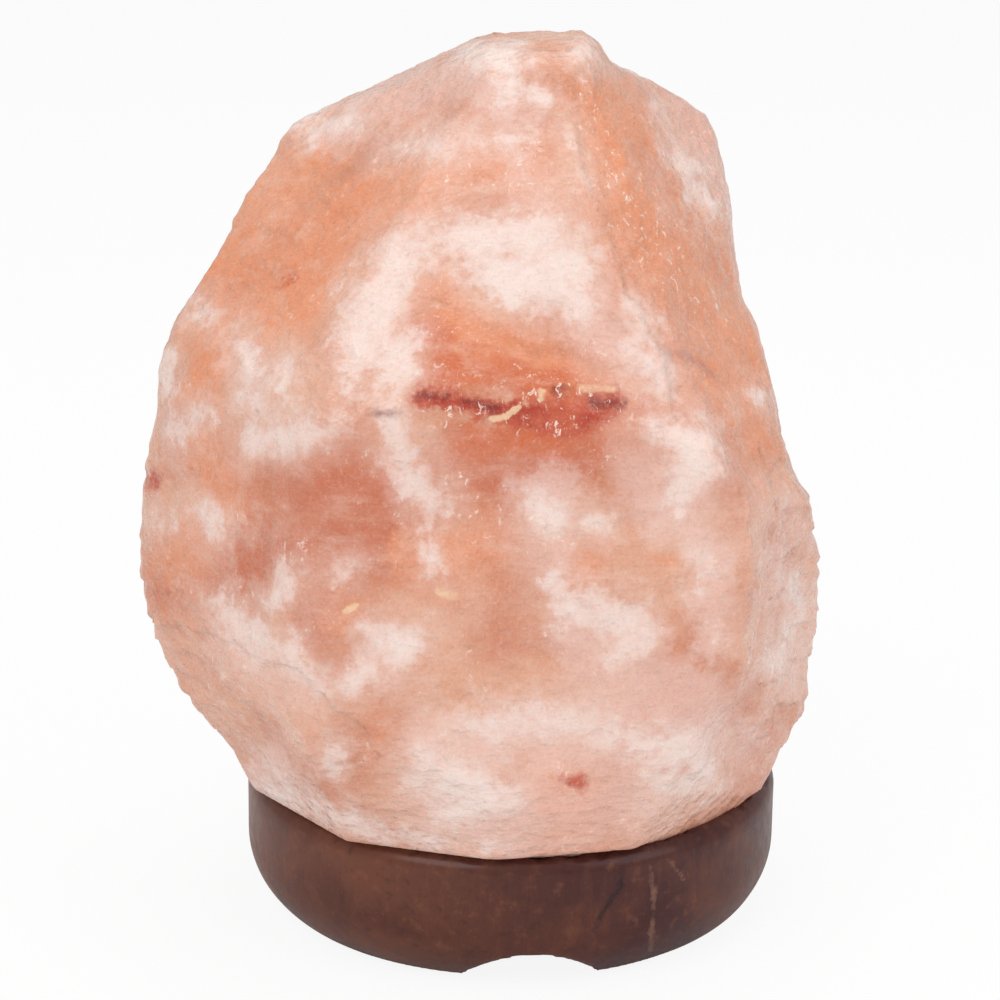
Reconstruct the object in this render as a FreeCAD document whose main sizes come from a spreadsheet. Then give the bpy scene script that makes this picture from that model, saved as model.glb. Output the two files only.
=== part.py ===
"""Salt crystal lamp: a hewn block of rock salt on a turned wooden base.

Millimetres. +Z is up and -Y is the front. The origin lies under the middle of the base, on the surface
that the lamp stands on. A lamp holder on a sprung plate pushes up into the base from below, and carries a
small E14 bulb in a chamber bored into the salt.
"""

import FreeCAD, Part
import math
import os
import re

import Sketcher

# Driving dimensions. Every other length is worked out from these.
SIZES = {
    # turned base
    "base_radius": 62.5,
    "base_height": 31,
    "base_tuck": 7,
    "base_tuck_height": 14.5,
    "base_rim": 3.2,
    "seat_wall": 3.7,
    "seat_depth": 1.5,
    "seat_gap": 0.3,
    "arch_half_width": 14.3,
    "arch_rise": 7.6,
    "arch_lip": 1.2,
    "recess_radius": 30,
    "recess_depth": 18,
    "bore_radius": 23,
    # felt pads under the base
    "pad_radius": 7,
    "pad_height": 1.5,
    "pad_reach": 45,
    # screws that hold the salt on the base
    "screw_reach": 42,
    "screw_shank": 2,
    "screw_length": 38,
    "screw_head": 4,
    "screw_head_height": 2.4,
    "screw_slot": 1,
    "sink_radius": 5.5,
    "sink_depth": 12,
    "shank_gap": 0.3,
    "washer_radius": 4.8,
    "washer_thick": 0.8,
    "plug_radius": 4,
    "plug_length": 25,
    "plug_collar": 1,
    "plug_gap": 0.1,
    # chamber bored into the salt
    "chamber_radius": 25,
    "chamber_depth": 92,
    "chamber_round": 8,
    # sprung plate that carries the lamp holder
    "plate_gap": 0.2,
    "plate_radius": 28,
    "plate_thick": 1,
    "vent_radius": 3,
    "vent_reach": 18.2,
    "vent_angle": 26,
    "arm_thick": 0.6,
    "arm_width": 8,
    "arm_foot": 14.2,
    "arm_bend": 20.4,
    "arm_bulge_height": 6,
    "arm_tip": 20.4,
    "arm_height": 10.5,
    "arm_gap": 0.3,
    "rivet_reach": 17,
    "rivet_radius": 1.45,
    "rivet_head": 2.3,
    "rivet_head_height": 0.9,
    "rivet_gap": 0.05,
    # threaded tube, nut, washer and cord bush
    "tube_radius": 5,
    "tube_bore": 3.5,
    "tube_above": 6,
    "tube_below": 2,
    "tube_gap": 0.1,
    "nut_across": 14,
    "nut_thick": 3,
    "lock_radius": 8.5,
    "lock_thick": 0.8,
    "bush_flange": 6.3,
    "bush_flange_height": 1.5,
    "bush_stem": 8,
    "bush_bore": 2.75,
    # moulded lamp holder
    "cup_radius": 13.5,
    "cup_height": 12,
    "cup_wall": 2.6,
    "cup_floor": 3,
    "cup_shoulder": 6,
    "sleeve_radius": 13.1,
    "sleeve_wall": 1.3,
    "sleeve_lip": 1,
    "sleeve_round": 1.5,
    "block_radius": 11.4,
    "block_height": 11,
    "terminal_reach": 6.5,
    "terminal_shank": 1.25,
    "terminal_depth": 7,
    "terminal_head": 1.9,
    "terminal_head_height": 1.4,
    "terminal_gap": 0.05,
    "shell_bore": 7.1,
    "shell_wall": 0.35,
    "shell_lip_gap": 0.3,
    "contact_width": 4,
    "contact_foot": 3.4,
    "contact_rise": 2.7,
    "contact_thick": 0.5,
    "contact_gap": 0.2,
    # bulb
    "pip_radius": 2.4,
    "pip_height": 1,
    "pip_stem": 1.6,
    "insulator_height": 3.3,
    "insulator_gap": 0.05,
    "cap_radius": 6.95,
    "cap_wall": 0.3,
    "cap_length": 17,
    "cap_proud": 0.5,
    "neck_gap": 0.3,
    "neck_sunk": 8,
    "neck_proud": 1,
    "glass_wall": 0.6,
    "glass_radius": 13,
    "glass_shoulder": 17.5,
    "glass_barrel": 6,
    "glass_flare": 24,
    "stem_radius": 2.9,
    "stem_tip": 1.9,
    "stem_height": 16,
    "lead_radius": 0.35,
    "lead_foot": 1.2,
    "filament_height": 30,
    "filament_radius": 6,
    "filament_thick": 0.45,
    "wire_gap": 0.3,
    # rough block that the salt is hewn from
    "rock_half_width": 95,
    "rock_height": 175,
    "rock_heart": 110,
    "rock_angle": -5.1,
    "chop_size": 260,
    # how far each hewn face lies from the heart of the block
    "left_belly_reach": 88.2,
    "left_flank_reach": 80.2,
    "left_slope_reach": 79.3,
    "left_crown_reach": 85.2,
    "crown_reach": 92,
    "right_crown_reach": 80.9,
    "right_shoulder_reach": 61.1,
    "right_flank_reach": 60.4,
    "right_belly_reach": 72,
    "front_face_reach": 66,
    "front_left_reach": 78.1,
    "front_right_belly_reach": 69.8,
    "sloping_plane_reach": 66.7,
    "lower_plane_reach": 60.4,
    "upper_front_reach": 69.9,
    "middle_front_reach": 67.8,
    "upper_left_front_reach": 72,
    "back_face_reach": 66.1,
    "back_left_reach": 76.1,
    "back_right_reach": 69.9,
    "back_slope_reach": 68.1,
    "back_left_slope_reach": 75.1,
    "back_crown_reach": 80.3,
    "front_left_edge_reach": 77.9,
    "front_right_edge_reach": 75.7,
    "left_front_edge_reach": 83.1,
    "left_back_edge_reach": 80.8,
    "left_top_edge_reach": 80.2,
    "back_right_edge_reach": 65.5,
    "back_edge_reach": 71.2,
    "back_left_edge_reach": 73.9,
    "back_top_edge_reach": 72.8,
    "back_crown_edge_reach": 84,
    "front_right_corner_reach": 80.7,
    "front_left_corner_reach": 85.4,
    "low_front_left_corner_reach": 80.2,
    "crown_front_corner_reach": 85.1,
    "crown_left_corner_reach": 85.8,
    "crown_side_corner_reach": 88.7,
    "upper_left_corner_reach": 77.3,
    "left_shoulder_corner_reach": 80.8,
    "left_top_corner_reach": 80.2,
    "left_back_corner_reach": 83.9,
    "back_left_corner_reach": 83.6,
    "back_corner_reach": 74.1,
    "right_back_corner_reach": 78.2,
    "back_top_corner_reach": 74.1,
    "back_slope_corner_reach": 73.4,
    "back_crown_corner_reach": 75.9,
    # how far each face that leans in to the foot passes outside the top edge of the foot
    "left_under_proud": 1,
    "right_under_proud": 0.3,
    "front_under_proud": 2.9,
    "front_left_under_proud": 3.1,
    "front_right_under_proud": 0.3,
    "back_under_proud": 0.8,
    "back_left_under_proud": 1.5,
    "back_right_under_proud": 0.4,
    "low_back_edge_proud": 3.7,
    "low_left_edge_proud": 2.5,
    "low_right_edge_proud": 0.3,
    "low_front_edge_proud": 3.5,
    "low_front_corner_proud": 4.8,
    "low_left_corner_proud": 11.2,
    "low_left_back_corner_proud": 15.1,
    "low_back_left_corner_proud": 6.7,
    "low_back_right_corner_proud": 8.1,
    "back_right_corner_proud": 6.3,
    "low_right_back_corner_proud": 5.2,
}

# The way each face left by hewing looks: a turn about Z and a tilt up from level, in degrees.
CHOP_ANGLES = {
    "left_under": (183, -34),
    "left_belly": (184, -13),
    "left_flank": (178, 8),
    "left_slope": (174, 27),
    "left_crown": (182, 64),
    "crown": (216, 86),
    "right_crown": (356, 53),
    "right_shoulder": (11, 11),
    "right_flank": (358, 17),
    "right_belly": (4, -4),
    "right_under": (354, -34),
    "front_face": (276, 2),
    "front_left": (222, 7),
    "front_under": (283, -17),
    "front_left_under": (218, -26),
    "front_right_under": (316, -25),
    "front_right_belly": (337, -3),
    "sloping_plane": (317, 35),
    "lower_plane": (338, 30),
    "upper_front": (262, 40),
    "middle_front": (285, 32),
    "upper_left_front": (219, 44),
    "back_face": (92, 2),
    "back_left": (138, 5),
    "back_right": (46, 4),
    "back_under": (89, -27),
    "back_left_under": (136, -30),
    "back_right_under": (44, -31),
    "back_slope": (85, 34),
    "back_left_slope": (124, 39),
    "back_crown": (96, 56),
    "front_left_edge": (251, 5),
    "front_right_edge": (298, 1),
    "left_front_edge": (203, 8),
    "left_back_edge": (157, 7),
    "left_top_edge": (152, 34),
    "back_right_edge": (27, 8),
    "back_edge": (69, 3),
    "back_left_edge": (113, 5),
    "back_top_edge": (41, 20),
    "back_crown_edge": (62, 56),
    "low_back_edge": (90, -14),
    "low_left_edge": (159, -36),
    "low_right_edge": (322, -21),
    "low_front_edge": (254, -27),
    "front_right_corner": (299, -12),
    "front_left_corner": (226, -8),
    "low_front_left_corner": (253, -3),
    "low_front_corner": (263, -17),
    "crown_front_corner": (320, 58),
    "crown_left_corner": (242, 63),
    "crown_side_corner": (209, 72),
    "upper_left_corner": (233, 32),
    "left_shoulder_corner": (212, 21),
    "left_top_corner": (155, 21),
    "left_back_corner": (173, 0),
    "low_left_corner": (175, -19),
    "low_left_back_corner": (160, -15),
    "back_left_corner": (129, -8),
    "low_back_left_corner": (103, -14),
    "back_corner": (75, -3),
    "low_back_right_corner": (66, -16),
    "back_right_corner": (36, -15),
    "right_back_corner": (21, -8),
    "low_right_back_corner": (13, -22),
    "back_top_corner": (60, 25),
    "back_slope_corner": (101, 22),
    "back_crown_corner": (81, 46),
}

PAD_COUNT = 4
SCREW_COUNT = 2
ARM_COUNT = 3
TERMINAL_COUNT = 2
VENT_OFFSETS = (-1, 0, 1)

# Lengths and levels that follow from the driving dimensions.
DERIVED = {
    "tuck_arc": "(base_tuck ^ 2 + base_tuck_height ^ 2) / (2 * base_tuck)",
    "arch_height": "arch_rise - arch_lip",
    "arch_arc": "(arch_half_width ^ 2 + arch_height ^ 2) / (2 * arch_height)",
    "seat_radius": "base_radius - seat_wall",
    "base_top": "pad_height + base_height",
    "seat_level": "base_top - seat_depth",
    "foot_radius": "seat_radius - seat_gap",
    "foot_drop": "rock_heart - base_top - seat_gap",
    "sink_roof": "pad_height + sink_depth",
    "screw_hole": "screw_shank + shank_gap",
    "chamber_straight": "chamber_depth - chamber_round",
    "plate_top": "pad_height + recess_depth - plate_gap",
    "plate_floor": "plate_top - plate_thick",
    "arm_bulge": "sqrt((bore_radius - arm_gap) ^ 2 - arm_width ^ 2 / 4)",
    "rivet_hole": "rivet_radius + rivet_gap",
    "lock_floor": "plate_floor - lock_thick",
    "nut_floor": "lock_floor - nut_thick",
    "tube_floor": "nut_floor - tube_below",
    "tube_hole": "tube_radius + tube_gap",
    "block_floor": "plate_top + cup_height",
    "block_top": "block_floor + block_height",
    "contact_top": "block_top + contact_rise",
    "pip_floor": "contact_top + contact_gap",
    "cap_floor": "pip_floor + pip_height + insulator_height",
    "cap_top": "cap_floor + cap_length",
    "sleeve_length": "cap_top - cap_proud - block_floor",
    "shell_radius": "shell_bore + shell_wall",
    "shell_length": "cap_top - cap_proud - sleeve_lip - block_top",
    "lip_bore": "shell_radius + shell_lip_gap",
    "neck_radius": "cap_radius - cap_wall - neck_gap",
    "glass_floor": "cap_top - neck_sunk",
    "neck_top": "neck_sunk + neck_proud",
    "barrel_floor": "neck_top + glass_shoulder",
    "barrel_top": "barrel_floor + glass_barrel",
}

# The faces that lean in to the foot lie by the seat, so that the salt stands proud of its foot all round.
for name in CHOP_ANGLES:
    if f"{name}_proud" in SIZES:
        past_foot = f"foot_radius * cos({name}_tilt) - foot_drop * sin({name}_tilt)"
        DERIVED[f"{name}_reach"] = f"{past_foot} + {name}_proud"

FULL_TURN = 360
failures = []
doc = FreeCAD.newDocument("salt_crystal_lamp")
sheet = doc.addObject("Spreadsheet::Sheet", "Sizes")


def fill_sheet():
    """Puts each driving dimension in a row of its own, with its name as the alias."""
    rows = dict(SIZES)
    for name, (turn, tilt) in CHOP_ANGLES.items():
        rows[f"{name}_turn"] = turn
        rows[f"{name}_tilt"] = tilt
    for row, (name, value) in enumerate(rows.items(), start=1):
        sheet.set(f"A{row}", name)
        sheet.set(f"B{row}", str(value))
        sheet.setAlias(f"B{row}", name)
    doc.recompute()
    return set(rows)


NAMES = fill_sheet()


def bound(text):
    """The expression with every derived name spelled out and every size read from the sheet."""

    def swap(match):
        word = match.group(0)
        if word in DERIVED:
            return f"({bound(DERIVED[word])})"
        return f"{sheet.Name}.{word}" if word in NAMES else word

    return re.sub(r"[A-Za-z]\w*", swap, str(text))


def value_of(text):
    """The number that an expression has with the sizes as they stand."""
    return float(sheet.evalExpression(bound(text)))


def origin_part(piece, role):
    """One of a body's own origin planes or axes."""
    return next(part for part in piece.Origin.OriginFeatures if part.Role == role)


def new_body(name, level="0", turn="0"):
    """A body that stands at a level, turned about the lamp's axis."""
    piece = doc.addObject("PartDesign::Body", name)
    piece.Label = name
    place = f"placement(vector(0; 0; {bound(level)}); rotation({bound(turn)}; 0; 0))"
    piece.setExpression("Placement", place)
    return piece


def new_sketch(piece, role):
    """An empty sketch on one of the body's own planes."""
    flat = piece.newObject("Sketcher::SketchObject", f"{piece.Name}_outline")
    flat.AttachmentSupport = [(origin_part(piece, role), "")]
    flat.MapMode = "FlatFace"
    return flat


def pin_size(flat, kind, text, *where):
    """Adds one dimension to a sketch and ties it to an expression."""
    index = flat.addConstraint(Sketcher.Constraint(kind, *where, value_of(text)))
    flat.renameConstraint(index, f"size_{index}")
    flat.setExpression(f"Constraints.size_{index}", bound(text))


def arc_between(start, end, radius):
    """The arc from start to end; a positive radius bulges to the right of the way it goes."""
    chord = end - start
    drop = math.sqrt(max(radius**2 - chord.Length**2 / 4, 0))
    side = FreeCAD.Vector(-chord.y, chord.x, 0).normalize()
    bulge = side * (math.copysign(drop, radius) - radius)
    return Part.Arc(start, (start + end) / 2 + bulge, end)


def draw_outline(piece, role, corners):
    """A closed outline, anticlockwise, with each corner tied to the sizes.

    A corner is (across, up), or (across, up, radius) where an arc of that radius runs on to the next one.
    """
    flat = new_sketch(piece, role)
    points = [FreeCAD.Vector(value_of(c[0]), value_of(c[1]), 0) for c in corners]
    ends = []
    for index, corner in enumerate(corners):
        start, end = points[index], points[(index + 1) % len(points)]
        if len(corner) == 2:
            edge = flat.addGeometry(Part.LineSegment(start, end), False)
            ends.append((edge, 1, 2))
            continue
        edge = flat.addGeometry(arc_between(start, end, value_of(corner[2])), False)
        forward = flat.getPoint(edge, 1).distanceToPoint(start) < flat.getPoint(edge, 2).distanceToPoint(start)
        ends.append((edge, 1, 2) if forward else (edge, 2, 1))
    for index, corner in enumerate(corners):
        edge, first, last = ends[index]
        follower, follower_first, _ = ends[(index + 1) % len(ends)]
        flat.addConstraint(Sketcher.Constraint("Coincident", edge, last, follower, follower_first))
        pin_size(flat, "DistanceX", corner[0], -1, 1, edge, first)
        pin_size(flat, "DistanceY", corner[1], -1, 1, edge, first)
    for index, corner in enumerate(corners):
        if len(corner) == 3:
            pin_size(flat, "Radius", f"abs({corner[2]})", ends[index][0])
    return flat


def draw_circles(piece, circles):
    """Circles on the body's XY plane, each as (across, up, radius)."""
    flat = new_sketch(piece, "XY_Plane")
    for across, up, radius in circles:
        middle = FreeCAD.Vector(value_of(across), value_of(up), 0)
        edge = flat.addGeometry(Part.Circle(middle, FreeCAD.Vector(0, 0, 1), value_of(radius)), False)
        pin_size(flat, "DistanceX", across, -1, 1, edge, 3)
        pin_size(flat, "DistanceY", up, -1, 1, edge, 3)
        pin_size(flat, "Radius", radius, edge)
    return flat


def turn_outline(piece, kind, corners, axis=None):
    """Revolves an outline about Z, or about the upright line at a distance out along X."""
    flat = draw_outline(piece, "XZ_Plane", corners)
    line = "V_Axis"
    if axis is not None:
        foot = FreeCAD.Vector(value_of(axis), 0, 0)
        edge = flat.addGeometry(Part.LineSegment(foot, foot + FreeCAD.Vector(0, 1, 0)), True)
        flat.addConstraint(Sketcher.Constraint("Vertical", edge))
        flat.addConstraint(Sketcher.Constraint("PointOnObject", edge, 1, -1))
        flat.addConstraint(Sketcher.Constraint("DistanceY", edge, 1, edge, 2, 1))
        pin_size(flat, "DistanceX", axis, -1, 1, edge, 1)
        line = "Axis0"
    doc.recompute()
    feature = piece.newObject(f"PartDesign::{kind}", f"{piece.Name}_{kind.lower()}")
    feature.Profile = flat
    feature.ReferenceAxis = (flat, [line])
    feature.Angle = FULL_TURN
    return feature


def extrude(piece, kind, flat, length, midplane=False, reverse=False):
    """Pads or pockets a sketch to a length."""
    feature = piece.newObject(f"PartDesign::{kind}", f"{piece.Name}_{kind.lower()}")
    feature.Profile = flat
    feature.setExpression("Length", bound(length))
    feature.Midplane = midplane
    feature.Reversed = reverse
    return feature


def ring_pattern(piece, feature, count):
    """Repeats a feature evenly about Z."""
    pattern = piece.newObject("PartDesign::PolarPattern", f"{piece.Name}_ring")
    pattern.Originals = [feature]
    pattern.Axis = (origin_part(piece, "Z_Axis"), [""])
    pattern.Angle = FULL_TURN
    pattern.Occurrences = count
    piece.Tip = pattern
    return pattern


def check_cut(piece, cut):
    """Runs a cutting step and notes a failure unless it took material away."""
    doc.recompute()
    before = piece.Shape.Volume
    cut()
    doc.recompute()
    if piece.Shape.Volume >= before:
        failures.append(f"{piece.Label}: a cut took nothing away")


def make_base():
    """The turned base: bun-shaped outside, dished seat on top, bored and recessed from below."""
    piece = new_body("wooden_base", "pad_height")
    turn_outline(piece, "Revolution", [
        ("bore_radius", "0"),
        ("base_radius - base_tuck", "0", "tuck_arc"),
        ("base_radius", "base_tuck_height"),
        ("base_radius", "base_height - base_rim", "base_rim"),
        ("base_radius - base_rim", "base_height"),
        ("seat_radius", "base_height"),
        ("seat_radius", "base_height - seat_depth"),
        ("bore_radius", "base_height - seat_depth"),
    ])
    check_cut(piece, lambda: turn_outline(piece, "Groove", [
        ("bore_radius / 2", "-1"),
        ("recess_radius", "-1"),
        ("recess_radius", "recess_depth"),
        ("bore_radius / 2", "recess_depth"),
    ]))
    arch = draw_outline(piece, "XZ_Plane", [
        ("-arch_half_width - arch_lip", "-arch_lip"),
        ("arch_half_width + arch_lip", "-arch_lip"),
        ("arch_half_width + arch_lip", "0", "-arch_lip"),
        ("arch_half_width", "arch_lip", "arch_arc"),
        ("-arch_half_width", "arch_lip", "-arch_lip"),
        ("-arch_half_width - arch_lip", "0"),
    ])
    check_cut(piece, lambda: extrude(piece, "Pocket", arch, "3 * base_radius", midplane=True))
    check_cut(piece, lambda: ring_pattern(piece, turn_outline(piece, "Groove", [
        ("screw_reach", "-1"),
        ("screw_reach + sink_radius", "-1"),
        ("screw_reach + sink_radius", "sink_depth"),
        ("screw_reach + screw_hole", "sink_depth"),
        ("screw_reach + screw_hole", "base_height"),
        ("screw_reach", "base_height"),
    ], "screw_reach"), SCREW_COUNT))


def make_pads():
    """Felt discs glued under the base, clear of the arch and of the screws."""
    piece = new_body("felt_pads", "0", f"{FULL_TURN} / {2 * PAD_COUNT}")
    discs = extrude(piece, "Pad", draw_circles(piece, [("pad_reach", "0", "pad_radius")]), "pad_height")
    ring_pattern(piece, discs, PAD_COUNT)


def make_salt():
    """The rock: a rough block hewn flat by flat, footed to the seat, bored for the lamp and the plugs."""
    piece = new_body("salt_crystal", "seat_level")
    stock = draw_outline(piece, "XY_Plane", [
        ("-rock_half_width", "-rock_half_width"),
        ("rock_half_width", "-rock_half_width"),
        ("rock_half_width", "rock_half_width"),
        ("-rock_half_width", "rock_half_width"),
    ])
    extrude(piece, "Pad", stock, "rock_height")
    for name in CHOP_ANGLES:
        chop = piece.newObject("PartDesign::SubtractiveBox", f"{name}_chop")
        for side in ("Length", "Width", "Height"):
            chop.setExpression(side, bound("chop_size"))
        heart = bound("vector(0; 0; rock_heart - seat_level)")
        facing = bound(f"rotation({name}_turn + rock_angle; -{name}_tilt; 0)")
        corner = bound(f"vector({name}_reach; -chop_size / 2; -chop_size / 2)")
        chop.setExpression("Placement", f"placement({heart}; {facing}) * placement({corner}; rotation(0; 0; 0))")
    check_cut(piece, lambda: turn_outline(piece, "Groove", [
        ("foot_radius", "-1"),
        ("2 * rock_half_width", "-1"),
        ("2 * rock_half_width", "seat_depth + seat_gap"),
        ("foot_radius", "seat_depth + seat_gap"),
    ]))
    check_cut(piece, lambda: turn_outline(piece, "Groove", [
        ("0", "-1"),
        ("chamber_radius", "-1"),
        ("chamber_radius", "chamber_straight", "chamber_round"),
        ("chamber_radius - chamber_round", "chamber_depth"),
        ("0", "chamber_depth"),
    ]))
    check_cut(piece, lambda: ring_pattern(piece, turn_outline(piece, "Groove", [
        ("screw_reach", "-1"),
        ("screw_reach + plug_radius + plug_gap", "-1"),
        ("screw_reach + plug_radius + plug_gap", "plug_length + plug_gap"),
        ("screw_reach", "plug_length + plug_gap"),
    ], "screw_reach"), SCREW_COUNT))


def make_fixings():
    """The screws, washers and wall plugs that hold the salt down on the base."""
    plugs = new_body("salt_plugs", "seat_level")
    ring_pattern(plugs, turn_outline(plugs, "Revolution", [
        ("screw_reach + screw_shank + plug_gap / 2", "0"),
        ("screw_reach + plug_radius", "0"),
        ("screw_reach + plug_radius", "plug_length - plug_collar"),
        ("screw_reach + plug_radius - plug_collar", "plug_length"),
        ("screw_reach + screw_shank + plug_gap / 2", "plug_length"),
    ], "screw_reach"), SCREW_COUNT)
    washers = new_body("screw_washers", "sink_roof - washer_thick")
    ring_pattern(washers, turn_outline(washers, "Revolution", [
        ("screw_reach + screw_hole", "0"),
        ("screw_reach + washer_radius", "0"),
        ("screw_reach + washer_radius", "washer_thick"),
        ("screw_reach + screw_hole", "washer_thick"),
    ], "screw_reach"), SCREW_COUNT)
    screws = new_body("base_screws", "sink_roof - washer_thick")
    screw = turn_outline(screws, "Revolution", [
        ("screw_reach", "-screw_head_height"),
        ("screw_reach + screw_head / 2", "-screw_head_height"),
        ("screw_reach + screw_head", "-screw_head_height / 2"),
        ("screw_reach + screw_head", "0"),
        ("screw_reach + screw_shank", "0"),
        ("screw_reach + screw_shank", "screw_length - 2 * screw_shank"),
        ("screw_reach", "screw_length"),
    ], "screw_reach")
    ring_pattern(screws, screw, SCREW_COUNT)
    check_cut(screws, lambda: cut_screw_slots(screws))


def cut_screw_slots(screws):
    """One straight slot across all the screw heads."""
    slot = draw_outline(screws, "XZ_Plane", [
        ("-2 * screw_reach", "-2 * screw_head_height"),
        ("2 * screw_reach", "-2 * screw_head_height"),
        ("2 * screw_reach", "-screw_head_height / 2"),
        ("-2 * screw_reach", "-screw_head_height / 2"),
    ])
    extrude(screws, "Pocket", slot, "screw_slot", midplane=True)


def make_plate():
    """The round steel plate that closes the base bore, with vents between its spring arms."""
    piece = new_body("holder_plate", "plate_floor")
    disc = draw_circles(piece, [("0", "0", "plate_radius"), ("0", "0", "tube_hole")])
    extrude(piece, "Pad", disc, "plate_thick")
    half_gap = f"{FULL_TURN} / {2 * ARM_COUNT}"
    vents = []
    for offset in VENT_OFFSETS:
        angle = f"({half_gap} + {offset} * vent_angle)"
        vents.append((f"vent_reach * cos{angle}", f"vent_reach * sin{angle}", "vent_radius"))
    for holes in (vents, [("rivet_reach", "0", "rivet_hole")]):
        flat = draw_circles(piece, holes)
        check_cut(piece, lambda: ring_pattern(
            piece, extrude(piece, "Pocket", flat, "3 * plate_thick", midplane=True), ARM_COUNT))


def make_arms():
    """The leaf springs that grip the bore, each one a strip bent outwards and back."""
    for index in range(ARM_COUNT):
        piece = new_body(f"spring_arm_{index + 1}", "plate_top", f"{index} * {FULL_TURN} / {ARM_COUNT}")
        strip = draw_outline(piece, "XZ_Plane", [
            ("arm_foot", "0"),
            ("arm_bend", "0"),
            ("arm_bulge", "arm_bulge_height"),
            ("arm_tip", "arm_height"),
            ("arm_tip - arm_thick", "arm_height - arm_thick / 2"),
            ("arm_bulge - 1.15 * arm_thick", "arm_bulge_height"),
            ("arm_bend - arm_thick / 2", "arm_thick"),
            ("arm_foot", "arm_thick"),
        ])
        extrude(piece, "Pad", strip, "arm_width", midplane=True)
        hole = draw_circles(piece, [("rivet_reach", "0", "rivet_hole")])
        check_cut(piece, lambda: extrude(piece, "Pocket", hole, "3 * arm_thick", midplane=True))


def make_rivets():
    """The rivets that hold the spring arms on the plate."""
    piece = new_body("clip_rivets", "plate_top")
    ring_pattern(piece, turn_outline(piece, "Revolution", [
        ("rivet_reach", "-plate_thick - rivet_head_height"),
        ("rivet_reach + rivet_head", "-plate_thick - rivet_head_height / 2"),
        ("rivet_reach + rivet_head", "-plate_thick"),
        ("rivet_reach + rivet_radius", "-plate_thick"),
        ("rivet_reach + rivet_radius", "arm_thick"),
        ("rivet_reach + rivet_head", "arm_thick"),
        ("rivet_reach + rivet_head", "arm_thick + rivet_head_height / 2"),
        ("rivet_reach", "arm_thick + rivet_head_height"),
    ], "rivet_reach"), ARM_COUNT)


def make_tube():
    """The threaded tube that joins holder and plate, its nut and washer, and the bush for the cord."""
    tube = new_body("nipple_tube", "tube_floor")
    turn_outline(tube, "Revolution", [
        ("tube_bore", "0"),
        ("tube_radius", "0"),
        ("tube_radius", "plate_top + tube_above - tube_floor"),
        ("tube_bore", "plate_top + tube_above - tube_floor"),
    ])
    washer = new_body("nipple_washer", "lock_floor")
    turn_outline(washer, "Revolution", [
        ("tube_hole", "0"),
        ("lock_radius", "0"),
        ("lock_radius", "lock_thick"),
        ("tube_hole", "lock_thick"),
    ])
    nut = new_body("nipple_nut", "nut_floor")
    sides = 6
    point = f"nut_across / 2 / cos({FULL_TURN / 2 / sides})"
    corners = []
    for side in range(sides):
        angle = side * FULL_TURN / sides
        corners.append((f"{point} * cos({angle})", f"{point} * sin({angle})"))
    extrude(nut, "Pad", draw_outline(nut, "XY_Plane", corners), "nut_thick")
    thread = draw_circles(nut, [("0", "0", "tube_hole")])
    check_cut(nut, lambda: extrude(nut, "Pocket", thread, "3 * nut_thick", midplane=True))
    bush = new_body("cord_bush", "tube_floor")
    turn_outline(bush, "Revolution", [
        ("bush_bore + bush_flange_height / 2", "-bush_flange_height"),
        ("bush_flange", "-bush_flange_height"),
        ("bush_flange", "0"),
        ("tube_bore - tube_gap", "0"),
        ("tube_bore - tube_gap", "bush_stem"),
        ("bush_bore", "bush_stem"),
        ("bush_bore", "-bush_flange_height / 2", "-bush_flange_height / 2"),
    ])


def make_holder():
    """The moulded lamp holder: a domed cup below and a plain sleeve above."""
    cup = new_body("holder_cap", "plate_top")
    turn_outline(cup, "Revolution", [
        ("tube_hole", "0"),
        ("cup_radius - cup_shoulder / 2", "0", "cup_shoulder"),
        ("cup_radius", "cup_shoulder"),
        ("cup_radius", "cup_height"),
        ("cup_radius - cup_wall", "cup_height"),
        ("cup_radius - cup_wall", "cup_shoulder"),
        ("cup_radius - cup_wall - cup_shoulder / 3", "cup_floor"),
        ("tube_hole", "cup_floor"),
    ])
    sleeve = new_body("holder_body", "block_floor")
    turn_outline(sleeve, "Revolution", [
        ("sleeve_radius - sleeve_wall", "0"),
        ("sleeve_radius", "0"),
        ("sleeve_radius", "sleeve_length - sleeve_round", "sleeve_round"),
        ("sleeve_radius - sleeve_round", "sleeve_length"),
        ("lip_bore", "sleeve_length"),
        ("lip_bore", "sleeve_length - sleeve_lip"),
        ("sleeve_radius - sleeve_wall - sleeve_lip", "sleeve_length - sleeve_lip"),
        ("sleeve_radius - sleeve_wall", "sleeve_length - 2 * sleeve_lip"),
    ])
    block = new_body("terminal_block", "block_floor")
    extrude(block, "Pad", draw_circles(block, [("0", "0", "block_radius")]), "block_height")
    check_cut(block, lambda: ring_pattern(block, turn_outline(block, "Groove", [
        ("terminal_reach", "-1"),
        ("terminal_reach + terminal_shank + terminal_gap", "-1"),
        ("terminal_reach + terminal_shank + terminal_gap", "terminal_depth + terminal_gap"),
        ("terminal_reach", "terminal_depth + terminal_gap"),
    ], "terminal_reach"), TERMINAL_COUNT))
    screws = new_body("terminal_screws", "block_floor")
    ring_pattern(screws, turn_outline(screws, "Revolution", [
        ("terminal_reach", "-terminal_head_height"),
        ("terminal_reach + terminal_head", "-terminal_head_height"),
        ("terminal_reach + terminal_head", "0"),
        ("terminal_reach + terminal_shank", "0"),
        ("terminal_reach + terminal_shank", "terminal_depth"),
        ("terminal_reach", "terminal_depth"),
    ], "terminal_reach"), TERMINAL_COUNT)


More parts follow.
